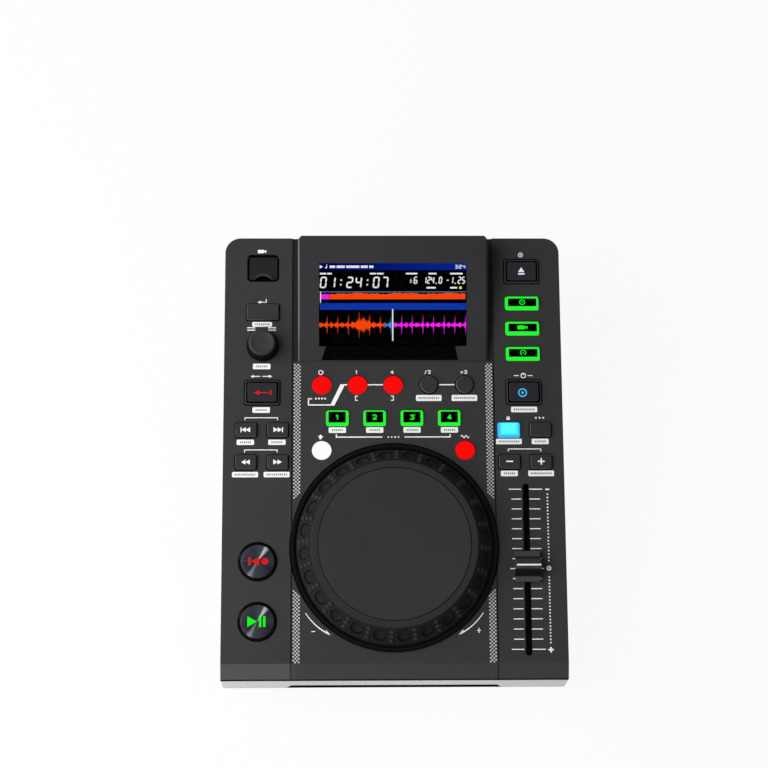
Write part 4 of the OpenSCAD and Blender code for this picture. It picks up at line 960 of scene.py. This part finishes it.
# Painted reflections: the ramp of fans goes into the base colour.
painted_fans = add(tree, "ValToRGB", [("Fac", fan)], PAINTED_FANS)
wide = add(tree, "Mapping", [("Vector", uv), ("Scale", (2.0, 45.0, 1.0))])
rings = add(tree, "TexNoise", [("Vector", wide.outputs[0]), ("Scale", 1.0)])
worn = add(tree, "MapRange", [("Value", rings.outputs[0]), ("To Min", 0.22), ("To Max", 0.42)])
round_axis = add(tree, "Tangent", direction_type="UV_MAP", uv_map="round")
tree.links.new(painted_fans.outputs[0], shader.inputs["Base Color"])
tree.links.new(worn.outputs[0], shader.inputs["Roughness"])
tree.links.new(round_axis.outputs[0], shader.inputs["Tangent"])


def grid_faces(rows, columns, first=0):
    """Quads of a grid whose columns close on themselves."""
    i, j = np.meshgrid(np.arange(rows - 1), np.arange(columns), indexing="ij")
    k = (j + 1) % columns
    corners = [i * columns + j, i * columns + k, (i + 1) * columns + k, (i + 1) * columns + j]
    return (np.stack(corners, -1).reshape(-1, 4) + first).tolist()


def turned(name, profile, x, v, material, body, count=96, flute=None, axes=panel):
    """A profile of (radius, height), from the outer foot to the axis, turned about a panel normal."""
    r, n = np.array(profile, float).T
    turn = np.linspace(0, 2 * np.pi, count, endpoint=False)
    radius = np.repeat(r[:, None], count, 1) + (0 if flute is None else flute(r[:, None], n[:, None], turn))
    points = axes(x + radius * np.cos(turn), v + radius * np.sin(turn), n[:, None]).reshape(-1, 3)
    faces = grid_faces(len(r), count)
    last = (len(r) - 1) * count
    faces.append(list(range(last, last + count)))
    faces.append(list(range(count))[::-1])
    return make(name, points, faces, material, body, smooth=True)


TRANSPORT_X, CUE_V, PLAY_V, FACE_R, TRANSPORT_TOP = -87.0, 64.5, 26.4, 10.6, 2.14
profile = [(FACE_R - 0.1, 1.98), (FACE_R, 2.0), (FACE_R, 2.08)]
profile += [(r, TRANSPORT_TOP) for r in (10.3, 7.0, 3.5, 0.6)]
for key, v in (("cue", CUE_V), ("play", PLAY_V)):
    face = turned(f"{key}_face", profile, TRANSPORT_X, v, spun, f"{key}_key")
    mesh = face.data
    spots = np.empty(len(mesh.vertices) * 3)
    mesh.vertices.foreach_get("co", spots)
    corner = np.empty(len(mesh.loops), int)
    mesh.loops.foreach_get("vertex_index", corner)
    away = spots.reshape(-1, 3)[corner] - panel(TRANSPORT_X, v, 2.1)
    turn = np.arctan2(away[:, 1] / math.cos(SLOPE), away[:, 0]) / (2 * np.pi) + 0.5
    size = np.linalg.norm(away, axis=1) / (FACE_R * MM)
    mesh.uv_layers.new(name="round").data.foreach_set("uv", np.stack([turn, size], 1).ravel())
cue_sign = [box(-92.1, CUE_V, 1.3, 5.0), wedge(-88.4, CUE_V, 5.0, 5.0, -1), disc(-82.3, CUE_V, 2.1)]
play_sign = [wedge(-90.1, PLAY_V, 6.0, 6.8)] + [box(x, PLAY_V, 1.5, 6.8) for x in (-85.0, -82.4)]
key_sign("cue", cue_sign, sign_red, TRANSPORT_TOP)
key_sign("play", play_sign, sign_green, TRANSPORT_TOP)
print("faces of the cue and play keys made")

# %% [markdown]
# ## Jog wheel bumps
# Between the finger hollows of the jog wheel are rows of three small domes. Each dome is a cap of a
# ball on a small polar grid, and all of them are copies turned about the wheel's axis.

# %% Jog wheel bumps
DOME_R, DOME_H, DOME_SUNK, DOME_ROWS, DOME_SIDES = 1.8, 1.2, 0.1, 5, 16
t = np.linspace(0, 1, DOME_ROWS)[:, None]
turn = np.linspace(0, 2 * np.pi, DOME_SIDES, endpoint=False)
out = DOME_R * np.cos(t * np.pi / 2 * 0.92)
across, along = out * np.sin(turn), out * np.cos(turn)
up = DOME_H * np.sin(t * np.pi / 2) - DOME_SUNK + 0 * turn
points, faces, first = [], [], 0
for row in (-4.8, 0.0, 4.8):
    for i in range(HOLLOWS):
        angle = HOLLOW_TURN + (i + 0.5) * 2 * math.pi / HOLLOWS
        reach = HOLLOW_REACH + (row + along) * SLOPE_UP[0] + up * SLOPE_OUT[0]
        n = HOLLOW_N + (row + along) * SLOPE_UP[1] + up * SLOPE_OUT[1]
        x = reach * math.cos(angle) - across * math.sin(angle)
        v = JOG_V + reach * math.sin(angle) + across * math.cos(angle)
        points.append(panel(x, v, n).reshape(-1, 3))
        faces += grid_faces(DOME_ROWS, DOME_SIDES, first)
        ends = first + (DOME_ROWS - 1) * DOME_SIDES + np.arange(DOME_SIDES)
        faces += [ends.tolist(), (first + np.arange(DOME_SIDES))[::-1].tolist()]
        first += DOME_ROWS * DOME_SIDES
make("jog_bumps", np.concatenate(points), faces, bump_abs, "jog_wheel", smooth=True)
print(first, "points in the bumps")

# %% [markdown]
# ## Browse knob
# Two turned shapes: a black skirt, and on it a fluted grip with a dished top and a soft rim. The
# flutes are a cosine round the axis, which fades out towards the rim and the foot.

# %% Browse knob
KNOB_X, KNOB_V = -85.0, 205.38
FLUTES, FLUTE_DEEP, GRIP_FOOT, GRIP_RIM, GRIP_R, FADE = 28, 0.17, 3.0, 10.4, 8.7, 0.8
skirt_profile = [(3.15, 0.92), (10.3, 0.92), (10.48, 1.1), (10.48, 1.9)]
skirt_profile += [(10.2, 2.4), (9.6, 2.8), (9.0, 2.9), (3.3, 2.9)]
grip_profile = [(3.3, 2.8), (9.0, 2.8), (9.05, 3.4), (8.95, 6.0), (8.8, 9.4), (8.75, 10.2)]
grip_profile += [(8.55, 10.8), (8.1, 11.25), (7.5, 11.45), (6.9, 11.4), (6.3, 11.2)]
grip_profile += [(5.0, 11.05), (2.5, 10.95), (0.4, 10.92)]


def flutes(r, n, turn):
    """Shallow grooves on the grip, none at the rim and the foot."""
    fade = np.clip((n - GRIP_FOOT) / FADE, 0, 1) * np.clip((GRIP_RIM - n) / FADE, 0, 1)
    return -FLUTE_DEEP * (1 + np.cos(FLUTES * turn)) * fade * (r > GRIP_R)


turned("knob_skirt", skirt_profile, KNOB_X, KNOB_V, skirt_abs, "browse_knob")
knob = turned("knob", grip_profile, KNOB_X, KNOB_V, knob_abs, "browse_knob", 168, flutes)
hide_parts("browse_knob")

# %% [markdown]
# ## Fader cap
# A finger rests in the hollow on either side of a ridge with a white line. The cap is one outline,
# hollow flanks and all, carried across the width and drawn in a little at both ends.

# %% Fader cap
CAP_HALF, CAP_END, RIDGE, LIP, CAP_TOP = 8.0, 9.8, 1.2, 5.5, 11.9
v = np.linspace(LIP, RIDGE, 14)
flank = 4.3 + (CAP_TOP - 4.7) * ((LIP - v) / (LIP - RIDGE)) ** 1.35
half_v = np.concatenate([[CAP_END, CAP_END, 9.4, 8.2, 6.6], v, [1.1, 0.7]])
half_n = np.concatenate([[0.85, 2.7, 3.15, 3.3, 3.7], flank, [CAP_TOP - 0.15, CAP_TOP]])
loop_v = np.concatenate([half_v, -half_v[::-1]])
loop_n = np.concatenate([half_n, half_n[::-1]])
inset = np.array([0.35, 0.1, 0.0, 0.0, 0.1, 0.35])[:, None]
path_x = np.array([-CAP_HALF, -7.85, -7.5, 7.5, 7.85, CAP_HALF])[:, None]
cap_points = panel(SIDE_X + path_x, CAP_V + loop_v * (1 - inset / CAP_END), loop_n - inset * (loop_n > 1))
count = len(loop_v)
cap_faces = [face[::-1] for face in grid_faces(6, count)]
cap_faces += [list(range(count)), list(range(5 * count, 6 * count))[::-1]]
cap = make("cap", cap_points.reshape(-1, 3), cap_faces, cap_abs, "fader")
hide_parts("fader_cap")
slabs("cap_line", [box(SIDE_X, CAP_V, 15.2, 0.95)], CAP_TOP - 0.05, CAP_TOP + 0.1, white_ink, "fader")

# %% [markdown]
# ## Hood plate and window pane
# Below the display the hood carries a black printed field with slanted ends. The pane over the
# display replaces the CAD window: it is thinner, so that air lies between it and the picture.

# %% Hood plate and pane
plate = [(-46.6, 0.4), (42.4, 0.4), (40.6, 9.6), (-43.6, 9.6)]
slabs("hood_plate", [plate], -0.03, 0.04, black_ink, axes=hood)
WINDOW_U = 36.6
window = pill(0, WINDOW_U, 96.2, 54.0, 0.4)
pane = slabs("pane", [window], -1.2, -0.16, acrylic, axes=hood)
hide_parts("screen_window")

# %% [markdown]
# ## The picture on the display
# The display shows a title bar, a running time, an overview of the track and a moving waveform. All
# of it is made here from formulas and plain numbers: words are rows of bars, and the waveform is a
# sum of sines with a spike on every beat.

# %% Display picture
SCREEN_N, LAYER = -2.2, 0.04


def on_screen(name, shapes, material, level=1):
    """Flat light on the display's face, one layer above the last."""
    low = SCREEN_N + LAYER * level
    return slabs(name, shapes, low, low + LAYER, material, axes=hood)


def words(x, u, lengths, h=1.3, gap=0.9):
    """Rows of bars that stand for words, from x to the right."""
    ends = np.cumsum(np.array(lengths) + gap)
    return [box(x + end - gap - w / 2, u, w, h) for end, w in zip(ends, lengths)]


def ribbon(name, x, below, above, material, level=1):
    """A band between two curves: four rows of points round its section, closed at both ends."""
    low, high = SCREEN_N + LAYER * level, SCREEN_N + LAYER * (level + 1)
    rows = [hood(x, below, low), hood(x, above, low), hood(x, above, high), hood(x, below, high)]
    points = np.stack(rows, 1).reshape(-1, 3)
    ends = [[0, 1, 2, 3], [4 * len(x) - k for k in (1, 2, 3, 4)]]
    return make(name, points, grid_faces(len(x), 4) + ends, material, "chassis")


on_screen("display_ground", [box(0, WINDOW_U, 96.3, 54.1)], display_black, 0)
on_screen("display_title", [box(0, 61.4, 96.2, 4.4)], title_blue)
on_screen("display_bar", [box(0.2, 35.5, 95.6, 4.4)], display_blue)
on_screen("display_rule", [box(0, 45.0, 96.0, 0.5)], display_line)
texts = [wedge(-46.6, 61.4, 2.2, 2.4), disc(-43.6, 60.8, 0.6, 12), box(-43.1, 61.8, 0.4, 2.2)]
texts += words(-41.2, 61.4, [3.6, 5.4, 8.6, 4.6, 2.8], 1.6) + number("3", 41.4, 61.4, 2.6, 1.7, 0.45, 2.2)
texts += [stroke([(42.7, 60.2), (43.5, 62.6)], 0.4)] + number("24", 45.4, 61.4, 2.6, 1.7, 0.45, 2.2)
texts += number("01:24:07", -25.2, 51.2, 7.5, 4.3, 1.0, 5.75, 0.1)
texts += [box(11.8, u, 1.3, 0.45) for u in (52.2, 51.2)] + [box(11.8, 52.95, 0.45, 1.0)]
texts += number("6", 14.9, 52.6, 4.8, 2.6, 0.75, 3.0, 0.1)
for value, x in (("124.0", 26.0), ("-1.25", 41.0)):
    texts += number(value, x, 52.6, 4.8, 2.3, 0.75, 2.55, 0.1)
on_screen("display_numbers", texts, display_white, 2)
small = words(-47.6, 56.9, [4.2, 3.0], 1.1, 0.6) + words(-15.0, 56.9, [4.0, 4.4], 1.1, 0.6)
small += words(8.6, 56.9, [7.4], 1.1) + words(23.4, 56.9, [5.2], 1.1) + words(37.4, 56.9, [8.2], 1.1)
small += words(22.0, 47.7, [6.0], 1.1) + words(37.4, 47.7, [4.6], 1.1)
on_screen("display_labels", small, display_white, 2)
on_screen("display_lock", [disc(44.2, 47.7, 0.95, 16)], display_yellow, 2)
on_screen("display_cursors", [box(-47.2, 41.6, 0.6, 7.4), box(-0.1, 23.4, 0.8, 20.8)], display_white, 3)

# %% Track overview and waveform
x = np.linspace(-41.2, 47.4, 300)
rise = 0.35 * np.sin(x * 0.21) + 0.25 * np.sin(x * 0.53 + 1) + 0.2 * np.sin(x * 1.7)
played = np.linspace(-46.9, -41.5, 12)
ribbon("overview_played", played, np.full(12, 40.2), np.full(12, 43.5), display_magenta)
ribbon("overview_left", x, np.full(300, 40.2), 44.0 + np.clip(rise, -0.8, 0.4), display_orange)
BEAT, FIRST_BEAT, SWELL_X, WAVE_U = 6.95, -42.9, -19.8, 23.4


def loudness(x, swell):
    """Half height of the waveform: two slow swells, a fast ripple and a thin spike on each beat."""
    body = 0.55 + 1.0 * np.sin(x * 0.9) ** 2 + 0.2 * np.sin(x * 2.3)
    body += swell * np.exp(-(((x - SWELL_X) / 4.5) ** 2))
    beats = (x - FIRST_BEAT) / BEAT
    beat = np.abs(beats - np.round(beats)) * BEAT
    return body * (1 + 0.3 * np.sin(x * 11.0) * (swell > 0)) + 5.0 * np.exp(-((beat / 0.14) ** 2))


for name, start_x, end_x, swell, finish in (
    ("wave_played", -48.0, -5.3, 2.6, display_orange),
    ("wave_now", -4.8, -0.8, 0.0, display_sky),
    ("wave_next", 0.6, 47.9, 0.0, display_magenta),
):
    x = np.linspace(start_x, end_x, int((end_x - start_x) / 0.09))
    half = loudness(x, swell)
    ribbon(name, x, WAVE_U - half, WAVE_U + half, finish)
print("display picture made")

# %% [markdown]
# ## Rear sockets
# Each output socket has a coloured insulator between its sleeve and its core. It is a ring with a
# rounded face, turned about the socket's own axis, which points backwards.

# %% Socket insulators
SOCKET_Z, PANEL_OUT = 38.0, 133.25


def rear(x, v, n):
    """Axes of the rear panel: x across, v up, n backwards."""
    x, v, n = np.broadcast_arrays(x, v, n)
    return np.stack([-x, PANEL_OUT + n, v], -1) * MM


INSULATORS = [
    ("digital_insert", 38.0, moulded("nylon, orange", "#c06018", "#cc6c20", 0.4, 0.8, 0.02)),
    ("left_insert", 56.0, moulded("nylon, white", "#d8d8d4", "#e0e0dc", 0.4, 0.8, 0.02)),
    ("right_insert", 74.0, moulded("nylon, red", "#b01818", "#bc2020", 0.4, 0.8, 0.02)),
]
r = np.array([3.3, 3.3, 3.15, 2.6, 2.45, 2.45])[:, None]
n = np.array([1.3, 6.4, 6.7, 6.7, 6.4, 1.3])[:, None]
turn = np.linspace(0, 2 * np.pi, 48, endpoint=False)
first = np.arange(48)
last, after = first + 5 * 48, np.roll(first, -1)
loops = grid_faces(6, 48) + np.stack([last, first, after, np.roll(last, -1)], 1).tolist()
for name, x, finish in INSULATORS:
    spots = rear(-x + r * np.cos(turn), SOCKET_Z + r * np.sin(turn), n)
    make(name, spots.reshape(-1, 3), loops, finish, "chassis", smooth=True)
print(len(INSULATORS), "socket insulators")

# %% [markdown]
# ## Size of the looks
# The box round all shown objects, the floor left out, is printed in millimetres.

# %% Size of the looks
low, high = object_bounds()
print("visual box in mm:", [round(1000 * side, 1) for side in high - low])
